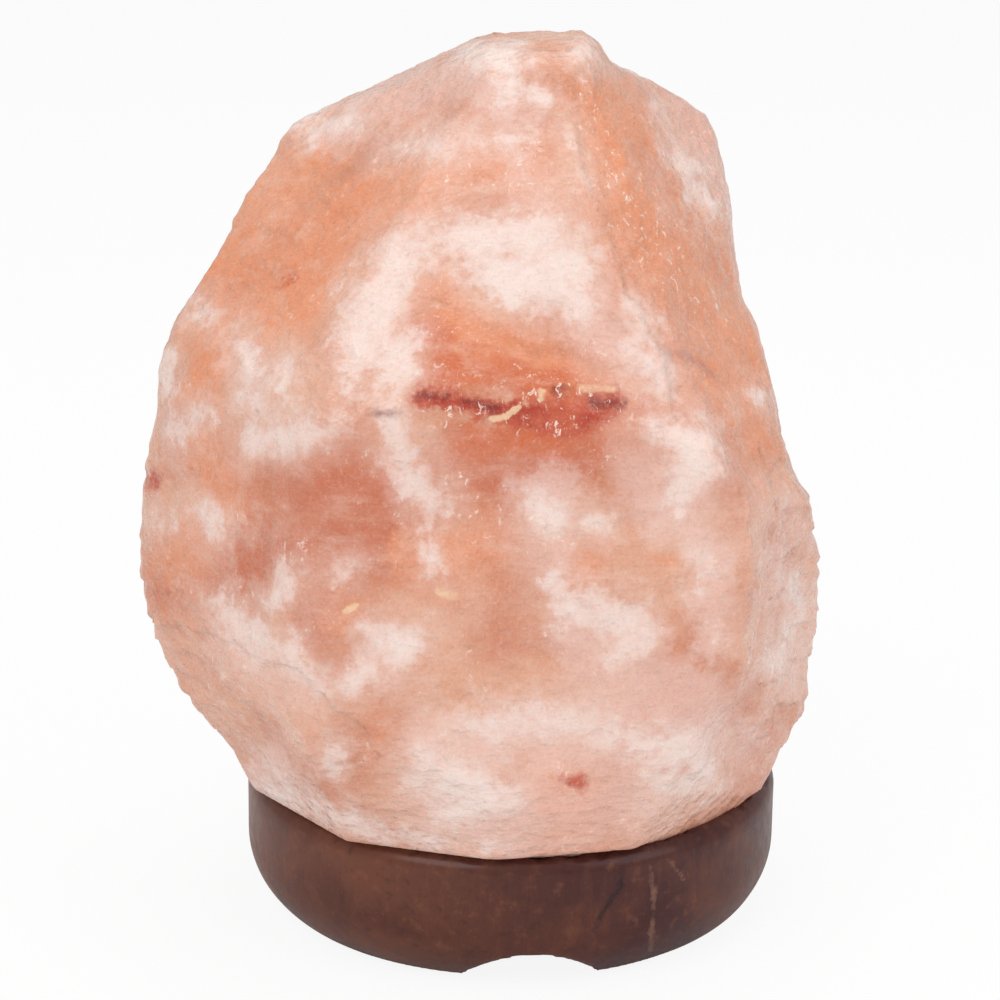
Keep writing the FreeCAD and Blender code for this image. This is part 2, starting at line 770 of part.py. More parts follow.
def make_contacts():
    """The threaded shell that takes the bulb and the bent strip that meets its tip."""
    shell = new_body("socket_shell", "block_top")
    turn_outline(shell, "Revolution", [
        ("shell_bore", "0"),
        ("shell_radius", "0"),
        ("shell_radius", "shell_length"),
        ("shell_bore", "shell_length"),
    ])
    strip = new_body("centre_contact", "block_top")
    bend = draw_outline(strip, "XZ_Plane", [
        ("-contact_foot - contact_rise / 2", "0"),
        ("-contact_foot + contact_thick / 2", "0"),
        ("-contact_foot / 2 + contact_thick / 2", "contact_rise - contact_thick"),
        ("contact_foot", "contact_rise - contact_thick"),
        ("contact_foot", "contact_rise"),
        ("-contact_foot / 2 - contact_thick / 2", "contact_rise"),
        ("-contact_foot - contact_thick / 2", "contact_thick"),
        ("-contact_foot - contact_rise / 2", "contact_thick"),
    ])
    extrude(strip, "Pad", bend, "contact_width", midplane=True)


def make_bulb_cap():
    """The bulb's metal end: contact pip, insulator and threaded cap."""
    pip = new_body("bulb_pip", "pip_floor")
    turn_outline(pip, "Revolution", [
        ("0", "0"),
        ("pip_radius / 2", "0"),
        ("pip_radius", "pip_height / 2"),
        ("pip_radius", "pip_height"),
        ("pip_stem", "pip_height"),
        ("pip_stem", "pip_height + insulator_height / 2"),
        ("0", "pip_height + insulator_height / 2"),
    ])
    insulator = new_body("bulb_insulator", "pip_floor + pip_height")
    turn_outline(insulator, "Revolution", [
        ("pip_stem + insulator_gap", "insulator_gap"),
        ("pip_radius + pip_height", "insulator_gap"),
        ("cap_radius - cap_wall", "insulator_height"),
        ("0", "insulator_height"),
        ("0", "insulator_height / 2 + insulator_gap"),
        ("pip_stem + insulator_gap", "insulator_height / 2 + insulator_gap"),
    ])
    cap = new_body("bulb_cap", "cap_floor")
    turn_outline(cap, "Revolution", [
        ("cap_radius - 2 * cap_wall", "0"),
        ("cap_radius", "cap_wall"),
        ("cap_radius", "cap_length"),
        ("cap_radius - cap_wall", "cap_length"),
        ("cap_radius - cap_wall", "2 * cap_wall"),
        ("cap_radius - 2 * cap_wall", "cap_wall"),
    ])


def make_glass():
    """The blown envelope, thin-walled and closed, and the glass stem that carries the wires."""
    glass = new_body("bulb_glass", "glass_floor")
    turn_outline(glass, "Revolution", [
        ("stem_radius + neck_gap", "0"),
        ("neck_radius", "0"),
        ("neck_radius", "neck_top", "glass_flare"),
        ("glass_radius", "barrel_floor"),
        ("glass_radius", "barrel_top", "glass_radius"),
        ("0", "barrel_top + glass_radius"),
        ("0", "barrel_top + glass_radius - glass_wall", "-(glass_radius - glass_wall)"),
        ("glass_radius - glass_wall", "barrel_top"),
        ("glass_radius - glass_wall", "barrel_floor", "-(glass_flare - glass_wall)"),
        ("neck_radius - glass_wall", "neck_top"),
        ("neck_radius - glass_wall", "glass_wall"),
        ("stem_radius + neck_gap", "glass_wall"),
    ])
    stem = new_body("bulb_stem", "glass_floor")
    turn_outline(stem, "Revolution", [
        ("0", "0"),
        ("stem_radius", "0"),
        ("stem_radius", "stem_height / 2"),
        ("stem_tip", "stem_height"),
        ("0", "stem_height"),
    ])


def make_filament():
    """The wires that stand on the stem, and the filament arched between them."""
    rise = "(filament_height - stem_height - wire_gap)"
    run = "(filament_radius - lead_foot)"
    wires = []
    for side in (-1, 1):
        wire = doc.addObject("Part::Cylinder", f"lead_{'left' if side < 0 else 'right'}")
        wire.setExpression("Radius", bound("lead_radius"))
        wire.setExpression("Height", bound(f"sqrt({rise} ^ 2 + {run} ^ 2) - wire_gap"))
        foot = bound(f"vector({side} * lead_foot; 0; glass_floor + stem_height + wire_gap)")
        lean = bound(f"rotation(0; {side} * atan({run} / {rise}); 0)")
        wire.setExpression("Placement", f"placement({foot}; {lean})")
        wires.append(wire)
    leads = doc.addObject("Part::Compound", "bulb_leads")
    leads.Label = "bulb_leads"
    leads.Links = wires
    arch = doc.addObject("Part::Torus", "bulb_filament")
    arch.Label = "bulb_filament"
    arch.setExpression("Radius1", bound("filament_radius"))
    arch.setExpression("Radius2", bound("filament_thick"))
    arch.Angle3 = FULL_TURN / 2
    level = bound("vector(0; 0; glass_floor + filament_height)")
    arch.setExpression("Placement", f"placement({level}; rotation(0; 0; 90))")


def build():
    make_base()
    make_pads()
    make_salt()
    make_fixings()
    make_plate()
    make_arms()
    make_rivets()
    make_tube()
    make_holder()
    make_contacts()
    make_bulb_cap()
    make_glass()
    make_filament()
    doc.recompute()


def sub_parts():
    """The pieces of the lamp: every body, and the bulb's wires and filament."""
    kinds = ("PartDesign::Body", "Part::Compound", "Part::Torus")
    return [thing for thing in doc.Objects if thing.TypeId in kinds]


def check_document():
    """Stops the build if a feature failed or a piece has no sound solid."""
    for thing in doc.Objects:
        if "Invalid" in thing.State or "Error" in thing.State:
            failures.append(f"{thing.Name}: {thing.State}")
    for piece in sub_parts():
        if piece.Shape.isNull() or not piece.Shape.isValid() or not piece.Shape.Solids:
            failures.append(f"{piece.Label}: no sound solid")
    if failures:
        raise RuntimeError("; ".join(failures))


def export_parts():
    """Writes one STEP file for each piece, named by its label."""
    os.makedirs("parts", exist_ok=True)
    for piece in sub_parts():
        piece.Shape.exportStep(f"parts/{piece.Label}.step")
        box = piece.Shape.BoundBox
        print(f"{piece.Label}: {len(piece.Shape.Solids)} solid(s), {piece.Shape.Volume / 1000:.3f} cm3,"
              f" z {box.ZMin:.2f} to {box.ZMax:.2f}")


build()
check_document()
export_parts()
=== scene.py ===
"""The finish of a salt crystal lamp: hewn rock salt on a dark turned base, with its lamp holder and bulb."""
import math

import bmesh
import bpy
import numpy as np
from mathutils import Matrix, Vector, noise


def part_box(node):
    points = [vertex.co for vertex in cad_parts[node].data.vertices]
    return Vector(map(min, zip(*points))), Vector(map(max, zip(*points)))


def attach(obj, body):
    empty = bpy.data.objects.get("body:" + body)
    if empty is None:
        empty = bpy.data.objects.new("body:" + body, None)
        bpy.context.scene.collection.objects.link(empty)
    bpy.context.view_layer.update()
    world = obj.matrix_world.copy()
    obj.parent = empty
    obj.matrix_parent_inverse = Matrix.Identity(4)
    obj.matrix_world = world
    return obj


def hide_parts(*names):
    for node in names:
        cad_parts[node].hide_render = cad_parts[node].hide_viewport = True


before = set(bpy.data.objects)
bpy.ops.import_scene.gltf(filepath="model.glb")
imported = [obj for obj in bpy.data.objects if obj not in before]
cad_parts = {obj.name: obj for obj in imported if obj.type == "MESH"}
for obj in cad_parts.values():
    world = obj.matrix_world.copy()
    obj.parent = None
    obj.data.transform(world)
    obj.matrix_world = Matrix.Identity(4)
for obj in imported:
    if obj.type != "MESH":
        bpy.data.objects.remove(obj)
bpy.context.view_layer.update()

scene = bpy.context.scene

# ---------------------------------------------------------------- where the lamp is looked at from
# The camera stands a little to the left of the lamp's front and above it, close enough for the block
# to widen towards the viewer. The stone's marks further down are placed by this view.
VIEW_TURN = math.radians(-4.8)
VIEW_RISE = math.radians(16.6)
VIEW_ROLL = math.radians(0.71)
VIEW_LENS = 104.9
VIEW_SENSOR = 36.0
VIEW_STAND = (-0.0574, -0.6427, 0.2878)
PICTURE = 1000

camera_data = bpy.data.cameras.new("camera")
camera_data.lens = VIEW_LENS
camera_data.sensor_width = VIEW_SENSOR
camera_data.clip_start = 0.01
camera = bpy.data.objects.new("camera", camera_data)
scene.collection.objects.link(camera)
view_back = Vector((math.sin(VIEW_TURN) * math.cos(VIEW_RISE),
                    -math.cos(VIEW_TURN) * math.cos(VIEW_RISE), math.sin(VIEW_RISE)))
view_right = Vector((math.cos(VIEW_TURN), math.sin(VIEW_TURN), 0.0))
view_up = view_back.cross(view_right)
facing = Matrix((view_right, view_up, view_back)).transposed().to_4x4()
camera.matrix_world = Matrix.Translation(VIEW_STAND) @ facing @ Matrix.Rotation(VIEW_ROLL, 4, "Z")
scene.camera = camera


def seen_at(points):
    """Where points of the lamp appear in the photograph, in its pixels, as two arrays."""
    offset = points - np.array(VIEW_STAND)
    depth = -offset @ np.array(view_back)
    focal = VIEW_LENS / VIEW_SENSOR * PICTURE
    across = focal * (offset @ np.array(view_right)) / depth
    up = focal * (offset @ np.array(view_up)) / depth
    cos, sin = math.cos(VIEW_ROLL), math.sin(VIEW_ROLL)
    return PICTURE / 2 + cos * across + sin * up, PICTURE / 2 - (cos * up - sin * across)


# ---------------------------------------------------------------- wooden base
# A disc of mango wood turned on a lathe, dished on top for the stone and scooped across underneath
# for the cord. It is stained dark red-brown and lacquered, with small chips round the seat; painted shade
# darkens its right side.
MM = 0.001
WOOD_CELL = 0.85 * MM
SHOULDER = 4.6 * MM
RIM_DEPTH = 2.2 * MM
RIM_INNER = 57.0 * MM
RIM_OUTER = 59.0 * MM
RIM_WEAR = 0.2 * MM
RIM_CHIP_SIZE = 5 * MM
RIM_CHIP_DEPTH = 0.9 * MM
WALL_START = 50.0 * MM
WALL_FULL = 56.0 * MM
WALL_SINK = 0.25 * MM
WAVER_SIZE = 26 * MM
WAVER_DEPTH = 0.22 * MM
MARK_LIMIT = 60
# marks on the front of the base: strokes of (across, down, half width) in pixels of the photograph
CRACK = [[(622, 870, 1.5), (620, 888, 2.5), (606, 908, 1.5), (594, 930, 1)]]
SCUFFS = [[(650, 866, 2), (654, 890, 3), (653, 920, 2), (650, 950, 2)], [(668, 860, 1), (684, 880, 1)]]


def srgb(red, green, blue):
    """A colour given as on a screen, 0 to 255, turned into scene values."""
    parts = []
    for part in (red, green, blue):
        part /= 255
        parts.append(part / 12.92 if part <= 0.04045 else ((part + 0.055) / 1.055) ** 2.4)
    return (*parts, 1.0)


def even_copy(name, node, cell):
    """A closed copy of a CAD node with an even mesh of about one cell, ready to be shaped."""
    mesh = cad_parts[node].data.copy()
    mesh.materials.clear()
    work = bmesh.new()
    work.from_mesh(mesh)
    bmesh.ops.remove_doubles(work, verts=work.verts, dist=1e-6)
    work.to_mesh(mesh)
    work.free()
    piece = bpy.data.objects.new(name, mesh)
    scene.collection.objects.link(piece)
    remesh = piece.modifiers.new("even", "REMESH")
    remesh.mode = "VOXEL"
    remesh.voxel_size = cell
    remesh.use_smooth_shade = True
    evaluated = piece.evaluated_get(bpy.context.evaluated_depsgraph_get())
    piece.data = bpy.data.meshes.new_from_object(evaluated)
    piece.modifiers.clear()
    piece.data.name = name
    return piece


def read_points(piece):
    """The piece's vertices as an array."""
    points = np.empty(len(piece.data.vertices) * 3)
    piece.data.vertices.foreach_get("co", points)
    return points.reshape(-1, 3)


def write_points(piece, points):
    piece.data.vertices.foreach_set("co", points.ravel())
    piece.data.update()


def cloudy(points, size, octaves=4, shift=0.0):
    """Smooth random values of about -1 to 1 that vary over one size, finer with each octave."""
    place = points / size + shift
    return np.array([noise.fractal(Vector(p), 1.0, 2.0, octaves) for p in place])


def ramp(value, low, high):
    """0 below low, 1 above high, and smooth between."""
    part = np.clip((value - low) / (high - low), 0, 1)
    return part * part * (3 - 2 * part)


class Shader:
    """A material's node tree, with short calls for the nodes that the finishes are made of."""

    def __init__(self, name):
        self.material = bpy.data.materials.new(name)
        self.material.use_nodes = True
        self.tree = self.material.node_tree
        self.surface = self.tree.nodes["Principled BSDF"]
        self.place = self.node("ShaderNodeTexCoord").outputs["Object"]

    def node(self, kind, **settings):
        made = self.tree.nodes.new(kind)
        for key, value in settings.items():
            setattr(made, key, value)
        return made

    def feed(self, socket, value):
        if isinstance(value, bpy.types.NodeSocket):
            self.tree.links.new(value, socket)
        else:
            socket.default_value = value

    def math(self, operation, first, second=0.0, third=0.0):
        made = self.node("ShaderNodeMath", operation=operation)
        for socket, value in zip(made.inputs, (first, second, third)):
            self.feed(socket, value)
        return made.outputs[0]

    def mix(self, factor, first, second):
        made = self.node("ShaderNodeMix", data_type="RGBA")
        for socket, value in ((0, factor), (6, first), (7, second)):
            self.feed(made.inputs[socket], value)
        return made.outputs[2]

    def layered(self, colour, layers):
        """The colour with tones laid over it one after another, each through its own mask."""
        for mask, tone in layers:
            colour = self.mix(mask, colour, tone)
        return colour

    def stretch(self, scale, turn=(0, 0, 0)):
        made = self.node("ShaderNodeMapping")
        self.feed(made.inputs["Vector"], self.place)
        made.inputs["Scale"].default_value = scale
        made.inputs["Rotation"].default_value = turn
        return made.outputs[0]

    def noise(self, scale, detail=4.0, roughness=0.55, place=None, distortion=0.0):
        made = self.node("ShaderNodeTexNoise")
        self.feed(made.inputs["Vector"], place or self.place)
        self.feed(made.inputs["Scale"], scale)
        made.inputs["Detail"].default_value = detail
        made.inputs["Roughness"].default_value = roughness
        made.inputs["Distortion"].default_value = distortion
        return made.outputs["Fac"]

    def cells(self, scale, place=None, output="Distance"):
        made = self.node("ShaderNodeTexVoronoi")
        self.feed(made.inputs["Vector"], place or self.place)
        made.inputs["Scale"].default_value = scale
        return made.outputs[output]

    def band(self, value, low, high, to_low=0.0, to_high=1.0):
        made = self.node("ShaderNodeMapRange", interpolation_type="SMOOTHSTEP")
        for socket, limit in zip(made.inputs, (value, low, high, to_low, to_high)):
            self.feed(socket, limit)
        return made.outputs[0]

    def painted(self, name):
        return self.node("ShaderNodeAttribute", attribute_name=name).outputs["Fac"]

    def bump(self, height, depth, strength=1.0, under=None):
        made = self.node("ShaderNodeBump")
        made.inputs["Strength"].default_value = strength
        made.inputs["Distance"].default_value = depth
        self.feed(made.inputs["Height"], height)
        if under is not None:
            self.feed(made.inputs["Normal"], under)
        return made.outputs[0]

    def use(self, effect, values):
        made = self.node("ShaderNodeGroup", node_tree=effect.tree)
        for key, value in values.items():
            self.feed(made.inputs[key], value)
        return made.outputs

    def set(self, **sockets):
        for key, value in sockets.items():
            self.feed(self.surface.inputs[key.replace("_", " ")], value)
        return self.material


def dabbed(strokes):
    """How far inside the nearest stroke each point lies, in pixels; less than nothing outside them."""
    field = np.full(len(spots), -float(MARK_LIMIT))
    for stroke in strokes:
        for (from_x, from_y, from_wide), (to_x, to_y, to_wide) in zip(stroke, stroke[1:] or stroke):
            run_x, run_y = to_x - from_x, to_y - from_y
            length = max(run_x**2 + run_y**2, 1e-6)
            share = np.clip(((seen_x - from_x) * run_x + (seen_y - from_y) * run_y) / length, 0, 1)
            beside = np.hypot(seen_x - from_x - share * run_x, seen_y - from_y - share * run_y)
            field = np.maximum(field, from_wide + share * (to_wide - from_wide) - beside)
    return np.minimum(field, MARK_LIMIT)


def paint(piece, name, values):
    layer = piece.data.attributes.new(name, "FLOAT", "POINT")
    layer.data.foreach_set("value", values)


base = even_copy("turned_base", "wooden_base", WOOD_CELL)
spots = read_points(base)
base_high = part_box("wooden_base")[1]
reach = np.hypot(spots[:, 0], spots[:, 1])
outward = spots * (1, 1, 0) / reach[:, None]
rim = ramp(spots[:, 2], base_high.z - RIM_DEPTH, base_high.z) * ramp(reach, RIM_INNER, RIM_OUTER)
chips = ramp(cloudy(spots, RIM_CHIP_SIZE), 0.05, 0.45) * rim
waver = cloudy(spots * (1, 1, 0.4), WAVER_SIZE, 2)
outside = ramp(reach, WALL_START, WALL_FULL)
spots -= outward * ((WALL_SINK + WAVER_DEPTH * waver) * outside)[:, None]
spots[:, 2] -= RIM_CHIP_DEPTH * chips + RIM_WEAR * rim

# the soft round of the shoulder
reach = np.hypot(spots[:, 0], spots[:, 1])
past_out = reach - (base_high.x - SHOULDER - WALL_SINK)
past_up = spots[:, 2] - (base_high.z - SHOULDER)
past = np.hypot(past_out, past_up)
round_off = (past_out > 0) & (past_up > 0) & (past > SHOULDER)
keep = np.where(round_off, SHOULDER / np.maximum(past, 1e-6), 1)
outward = spots * (1, 1, 0) / reach[:, None]
spots += outward * (past_out * (keep - 1))[:, None]
spots[:, 2] += past_up * (keep - 1)
write_points(base, spots)
seen_x, seen_y = seen_at(spots)
paint(base, "crack", dabbed(CRACK))
paint(base, "scuff", dabbed(SCUFFS))

wood = Shader("stained_mango_wood")
grain = wood.noise(1.0, 5, 0.65, wood.stretch((210, 210, 40), (0.1, 0.35, 0.2)), 0.8)
growth = wood.noise(1.0, 4, 0.6, wood.stretch((16, 60, 44), (0.05, 0.12, 0.5)), 0.7)
blotch = wood.noise(30, 4, 0.6)
mottle = wood.noise(330, 4, 0.65)
pores = wood.noise(1.0, 3, 0.7, wood.stretch((1500, 1500, 260), (0.1, 0.35, 0.2)))
across = wood.node("ShaderNodeSeparateXYZ")
wood.feed(across.inputs[0], wood.place)
edges = wood.math("MULTIPLY", wood.math("SUBTRACT", mottle, 0.5), 16.0)
torn = wood.band(wood.math("ADD", wood.painted("crack"), edges), -2.0, 2.5)
worn = wood.band(wood.math("ADD", wood.painted("scuff"), edges), -2.0, 3.0, 0.0, 0.5)
stain_and_side_shade = wood.layered(srgb(104, 58, 40), (
    # painted shade: the wood darker towards the right side of the base, away from the key light
    (wood.band(across.outputs["X"], -0.055, 0.035), srgb(64, 27, 27)),
    (wood.band(growth, 0.38, 0.66, 0.0, 0.55), srgb(64, 25, 23)),
    (wood.band(blotch, 0.5, 0.7, 0.0, 0.55), srgb(112, 62, 42)),
    (wood.band(grain, 0.48, 0.66, 0.0, 0.16), srgb(120, 66, 46)),
    (wood.band(mottle, 0.52, 0.72, 0.0, 0.34), srgb(130, 80, 56)),
    (wood.band(mottle, 0.46, 0.3, 0.0, 0.36), srgb(50, 20, 18)),
    (wood.band(pores, 0.62, 0.72, 0.0, 0.3), srgb(42, 15, 13)),
    (wood.math("MULTIPLY", torn, 0.75), srgb(30, 14, 16)),
    (worn, srgb(146, 104, 84)),
))
surface = wood.bump(blotch, 0.8 * MM, 0.3)
surface = wood.bump(grain, 0.12 * MM, 0.4, surface)
surface = wood.bump(pores, 0.08 * MM, 0.5, surface)
wood.set(Base_Color=stain_and_side_shade, Roughness=wood.band(mottle, 0.3, 0.7, 0.34, 0.48), Specular_IOR_Level=0.22,
         Coat_Weight=0.16, Coat_Roughness=0.12, Normal=wood.bump(torn, -0.4 * MM, 0.8, surface))
base.data.materials.append(wood.material)
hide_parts("wooden_base")
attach(base, "lamp")

# ---------------------------------------------------------------- felt pads
# Discs of dense wool felt glued under the base, so that it neither slides nor scratches the table.
# The fibres lie every way and stand up a little.
FIBRE = 2600


def dress(shader, *nodes):
    """Puts a finish on CAD nodes whose shape is right as it is."""
    for node in nodes:
        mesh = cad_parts[node].data
        mesh.materials.clear()
        mesh.materials.append(shader.material)


felt = Shader("wool_felt")
fibres = felt.noise(1.0, 4, 0.7, felt.stretch((FIBRE, FIBRE / 6, FIBRE / 3), (0.2, 0.1, 0.7)), 1.2)
matted = felt.noise(700, 3, 0.6)
wool = felt.mix(felt.band(fibres, 0.35, 0.65), srgb(26, 25, 27), srgb(62, 60, 63))
wool = felt.mix(felt.band(matted, 0.45, 0.7), wool, srgb(44, 42, 46))
felt.set(Base_Color=wool, Roughness=0.95, Specular_IOR_Level=0.1, Sheen_Weight=0.5, Sheen_Roughness=0.6,
         Normal=felt.bump(fibres, 0.25 * MM, 0.9, felt.bump(matted, 0.3 * MM, 0.6)))
dress(felt, "felt_pads")

# ---------------------------------------------------------------- salt block
# One lump of pink rock salt, hewn roughly to shape with a hammer, so that its faces are flat, chipped
# and softly rounded at the ridges. Iron colours it orange and red; trapped brine clouds it white.
# Painted highlights lie along two of its ridges and in small glints over its faces.
SALT_CELL = 1.2 * MM
HEART = np.array((0.0, 0.0, 0.110))
RIDGE_SHARPNESS = 150
CHIP_SHARPNESS = 400
FOOT_TOP = 33.5 * MM
FREE_HEIGHT = 37.0 * MM
ROUGH_HEIGHT = 50.0 * MM
CHAMBER_REACH = 26 * MM
CHAMBER_TOP = 125 * MM
CHAMBER_FAR = 44.5 * MM
SEED = 11
CHIP_COUNT = 300
RIDGE_CHIP_COUNT = 260
SCOOP_COUNT = 130
CHIP_LIMIT = 1.5 * MM
HOLLOW_LIMIT = 1.9 * MM
BATCH = 20000

# the block's outline as it shows from the front, clockwise from the top left of its crown
OUTLINE = [
    (482, 35), (540, 31), (592, 32), (598, 44), (612, 62), (650, 80), (690, 103), (712, 122), (720, 150),
    (731, 200), (734, 245), (743, 300), (756, 322), (766, 360), (776, 400), (783, 440), (797, 478),
    (811, 500), (813, 525), (820, 560), (817, 600), (818, 622), (811, 650), (806, 690), (809, 702),
    (796, 722), (785, 744), (768, 768), (757, 781), (727, 808), (648, 839), (559, 853), (490, 857),
    (395, 844), (322, 822), (258, 792), (240, 760), (225, 740), (205, 718), (188, 698), (176, 678),
    (158, 642), (150, 618), (141, 578), (140, 540), (144, 480), (150, 440), (157, 415), (159, 365),
    (175, 320), (203, 278), (226, 240), (236, 215), (246, 195), (272, 160), (285, 132), (300, 119),
    (345, 98), (384, 81), (430, 59),
]


def hewn_planes(node):
    """The flat faces of the CAD block, as outward normals and distances from its heart."""
    found = {}
    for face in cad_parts[node].data.polygons:
        normal = np.array(face.normal)
        distance = normal @ (np.array(face.center) - HEART)
        if distance > 0.05 and normal[2] > -0.9:
            key = tuple(np.round(normal, 2))
            area = found.get(key, (0.0,))[0] + face.area
            found[key] = (area, normal, distance)
    kept = [(normal, distance) for area, normal, distance in found.values() if area > 4e-5]
    return np.array([k[0] for k in kept]), np.array([k[1] for k in kept])


def nearest_cut(ways, normals, reaches, sharpness):
    """How far each way runs from the heart to the first plane, with the ridges rounded off."""
    shape = np.empty(len(ways))
    for start in range(0, len(ways), BATCH):
        closeness = np.maximum(ways[start:start + BATCH] @ normals.T, 1e-6) / reaches
        most = closeness.max(axis=1, keepdims=True)
        total = ((closeness / most) ** sharpness).sum(axis=1) ** (1 / sharpness)
        shape[start:start + BATCH] = 1 / (most[:, 0] * total)
    return shape


def unit(vectors):
    return vectors / np.linalg.norm(vectors, axis=-1, keepdims=True)


def struck_planes(rng, count, normals, reaches, at_ridge):
    """Small flats struck off the block: on its faces, or across the ridges between two of them."""
    ways = unit(rng.normal(size=(count * 12, 3)))
    order = np.sort(ways @ normals.T / reaches, axis=1)
    near_ridge = order[:, -2] / order[:, -1]
    ways = ways[np.argsort(-near_ridge)][:count] if at_ridge else ways[:count]
    closeness = ways @ normals.T / reaches
    first, second = np.argsort(closeness, axis=1)[:, -1], np.argsort(closeness, axis=1)[:, -2]
    facing = normals[first] + (normals[second] if at_ridge else 0)
    lean = rng.normal(size=(count, 3)) * rng.uniform(0.04, 0.22, count)[:, None]
    facing = unit(unit(facing) + lean)
    struck = rng.uniform(0.3, 2.4 if at_ridge else 1.0, count) ** 1.4 * MM
    far = nearest_cut(ways, normals, reaches, 4000)
    return facing, far * (ways * facing).sum(axis=1) - struck


salt = even_copy("hewn_salt", "salt_crystal", SALT_CELL)
spots = read_points(salt)
far = np.linalg.norm(spots - HEART, axis=1)
ways = (spots - HEART) / far[:, None]
inside = (np.hypot(spots[:, 0], spots[:, 1]) < CHAMBER_REACH) & (spots[:, 2] < CHAMBER_TOP)
inside |= far < CHAMBER_FAR
free = ramp(spots[:, 2], FOOT_TOP, FREE_HEIGHT) * ~inside

rng = np.random.default_rng(SEED)
normals, reaches = hewn_planes("salt_crystal")
cuts = [(normals, reaches)] + [struck_planes(rng, count, normals, reaches, at_ridge)
                               for count, at_ridge in ((CHIP_COUNT, False), (RIDGE_CHIP_COUNT, True))]
hewn = nearest_cut(ways, normals, reaches, RIDGE_SHARPNESS)
chipped = nearest_cut(ways, *(np.concatenate(part) for part in zip(*cuts[1:])), CHIP_SHARPNESS)
relief = np.maximum(np.minimum(chipped - hewn, 0), -CHIP_LIMIT)

# hollows left where flakes have sprung off
for way in unit(rng.normal(size=(SCOOP_COUNT, 3))):
    radius = rng.uniform(9, 30) * MM
    hollow = rng.uniform(0.25, 0.9) * MM
    centre = way * (nearest_cut(way[None], normals, reaches, RIDGE_SHARPNESS) + radius - hollow)
    beside = np.linalg.norm(ways * hewn[:, None] - centre, axis=1)
    struck = (beside < radius) & (ways @ way > 0.8)
    relief[struck] -= (radius - beside)[struck]
relief = np.maximum(relief, -HOLLOW_LIMIT)

# Steps in the surface, drawn over the photograph: the stone drops on the right of the way each line goes,
# by a depth in millimetres, and comes back over a run in pixels.
FOLDS = [
    ([(672, 392), (655, 345), (628, 290), (600, 215), (565, 112)], 1.0, 60),
    ([(712, 778), (733, 725), (745, 650), (753, 580), (748, 510), (738, 440)], 2.0, 44),
    ([(766, 742), (781, 690), (793, 622), (790, 560), (779, 505), (767, 455)], 1.6, 24),
    ([(702, 230), (684, 202), (670, 160), (662, 108)], 0.8, 46),
    ([(418, 306), (426, 284), (452, 300), (500, 332), (560, 346), (628, 366)], 0.8, 44),
    ([(164, 618), (225, 640), (288, 664), (335, 700), (374, 748)], 1.2, 56),
    ([(146, 470), (196, 462), (214, 420), (250, 412)], 0.8, 30),
    ([(385, 418), (414, 470), (444, 524)], 0.6, 30),
    ([(520, 690), (450, 716), (400, 752)], 0.7, 40),
    ([(600, 618), (650, 600), (700, 560), (716, 500)], 0.6, 40),
    ([(236, 222), (300, 236), (372, 196), (430, 186)], 0.6, 40),
]


def beside_line(line, seen_x, seen_y):
    """How far points lie to the right of a line, in pixels, and how little they lie past its ends."""
    nearest, side, within = (np.full(len(seen_x), value) for value in (1e9, 0.0, 0.0))
    for (from_x, from_y), (to_x, to_y) in zip(line, line[1:]):
        run_x, run_y = to_x - from_x, to_y - from_y
        length = math.hypot(run_x, run_y)
        along = ((seen_x - from_x) * run_x + (seen_y - from_y) * run_y) / length
        held = np.clip(along, 0, length)
        off_x, off_y = seen_x - from_x - held * run_x / length, seen_y - from_y - held * run_y / length
        apart = np.hypot(off_x, off_y)
        closer = apart < nearest
        nearest[closer] = apart[closer]
        side[closer] = np.copysign(apart, run_x * off_y - run_y * off_x)[closer]
        within[closer] = 1 - ramp(np.abs(along - held), 0, 24)[closer]
    return side, within


wander = cloudy(spots, 9 * MM, 3, 17.0) * 9
seen_x, seen_y = seen_at(HEART + ways * hewn[:, None])
towards = ramp(spots @ (np.array(view_back) * (1, 1, 0)), -0.012, 0.006)
for line, depth, run in FOLDS:
    side, within = beside_line(line, seen_x, seen_y)
    side = side + wander
    relief -= depth * MM * ramp(side, 0, 5) * (1 - ramp(side, 5, run)) * within * towards

# Broken steps down both flanks: the side of the view, how far out and how high they start, then the
# height and depth of a step, all in millimetres, and the shift of the noise that bends them.
STEPPED_FLANKS = [(1, 50, 125, 10.5, 1.5, 21.0), (-1, 60, 100, 7.0, 0.9, 31.0)]
view_side = np.array(view_right)
for side, near, top, height, depth, shift in STEPPED_FLANKS:
    flank = ramp(spots @ view_side * side, near * MM, (near + 14) * MM)
    flank *= ramp(spots[:, 2], top * MM, (top - 18) * MM)
    stairs = (spots[:, 2] + 3 * MM * cloudy(spots, 16 * MM, 2, shift)) / (height * MM)
    relief -= flank * ((stairs % 1.0) ** 1.6 * depth * MM)

# the roughness of broken salt, coarse to fine: size, octaves, shift of the noise, and height
for size, octaves, shift, height in ((24, 3, 0.0, 0.7), (7, 3, 5.0, 0.4), (2.8, 2, 9.0, 0.16)):
    relief += cloudy(spots, size * MM, octaves, shift) * height * MM
relief = (relief - np.median(relief[free > 0.5])) * ramp(spots[:, 2], FREE_HEIGHT, ROUGH_HEIGHT)
shape = hewn + relief
spots = np.where(free[:, None] > 0, HEART + ways * (far + (shape - far) * free)[:, None], spots)

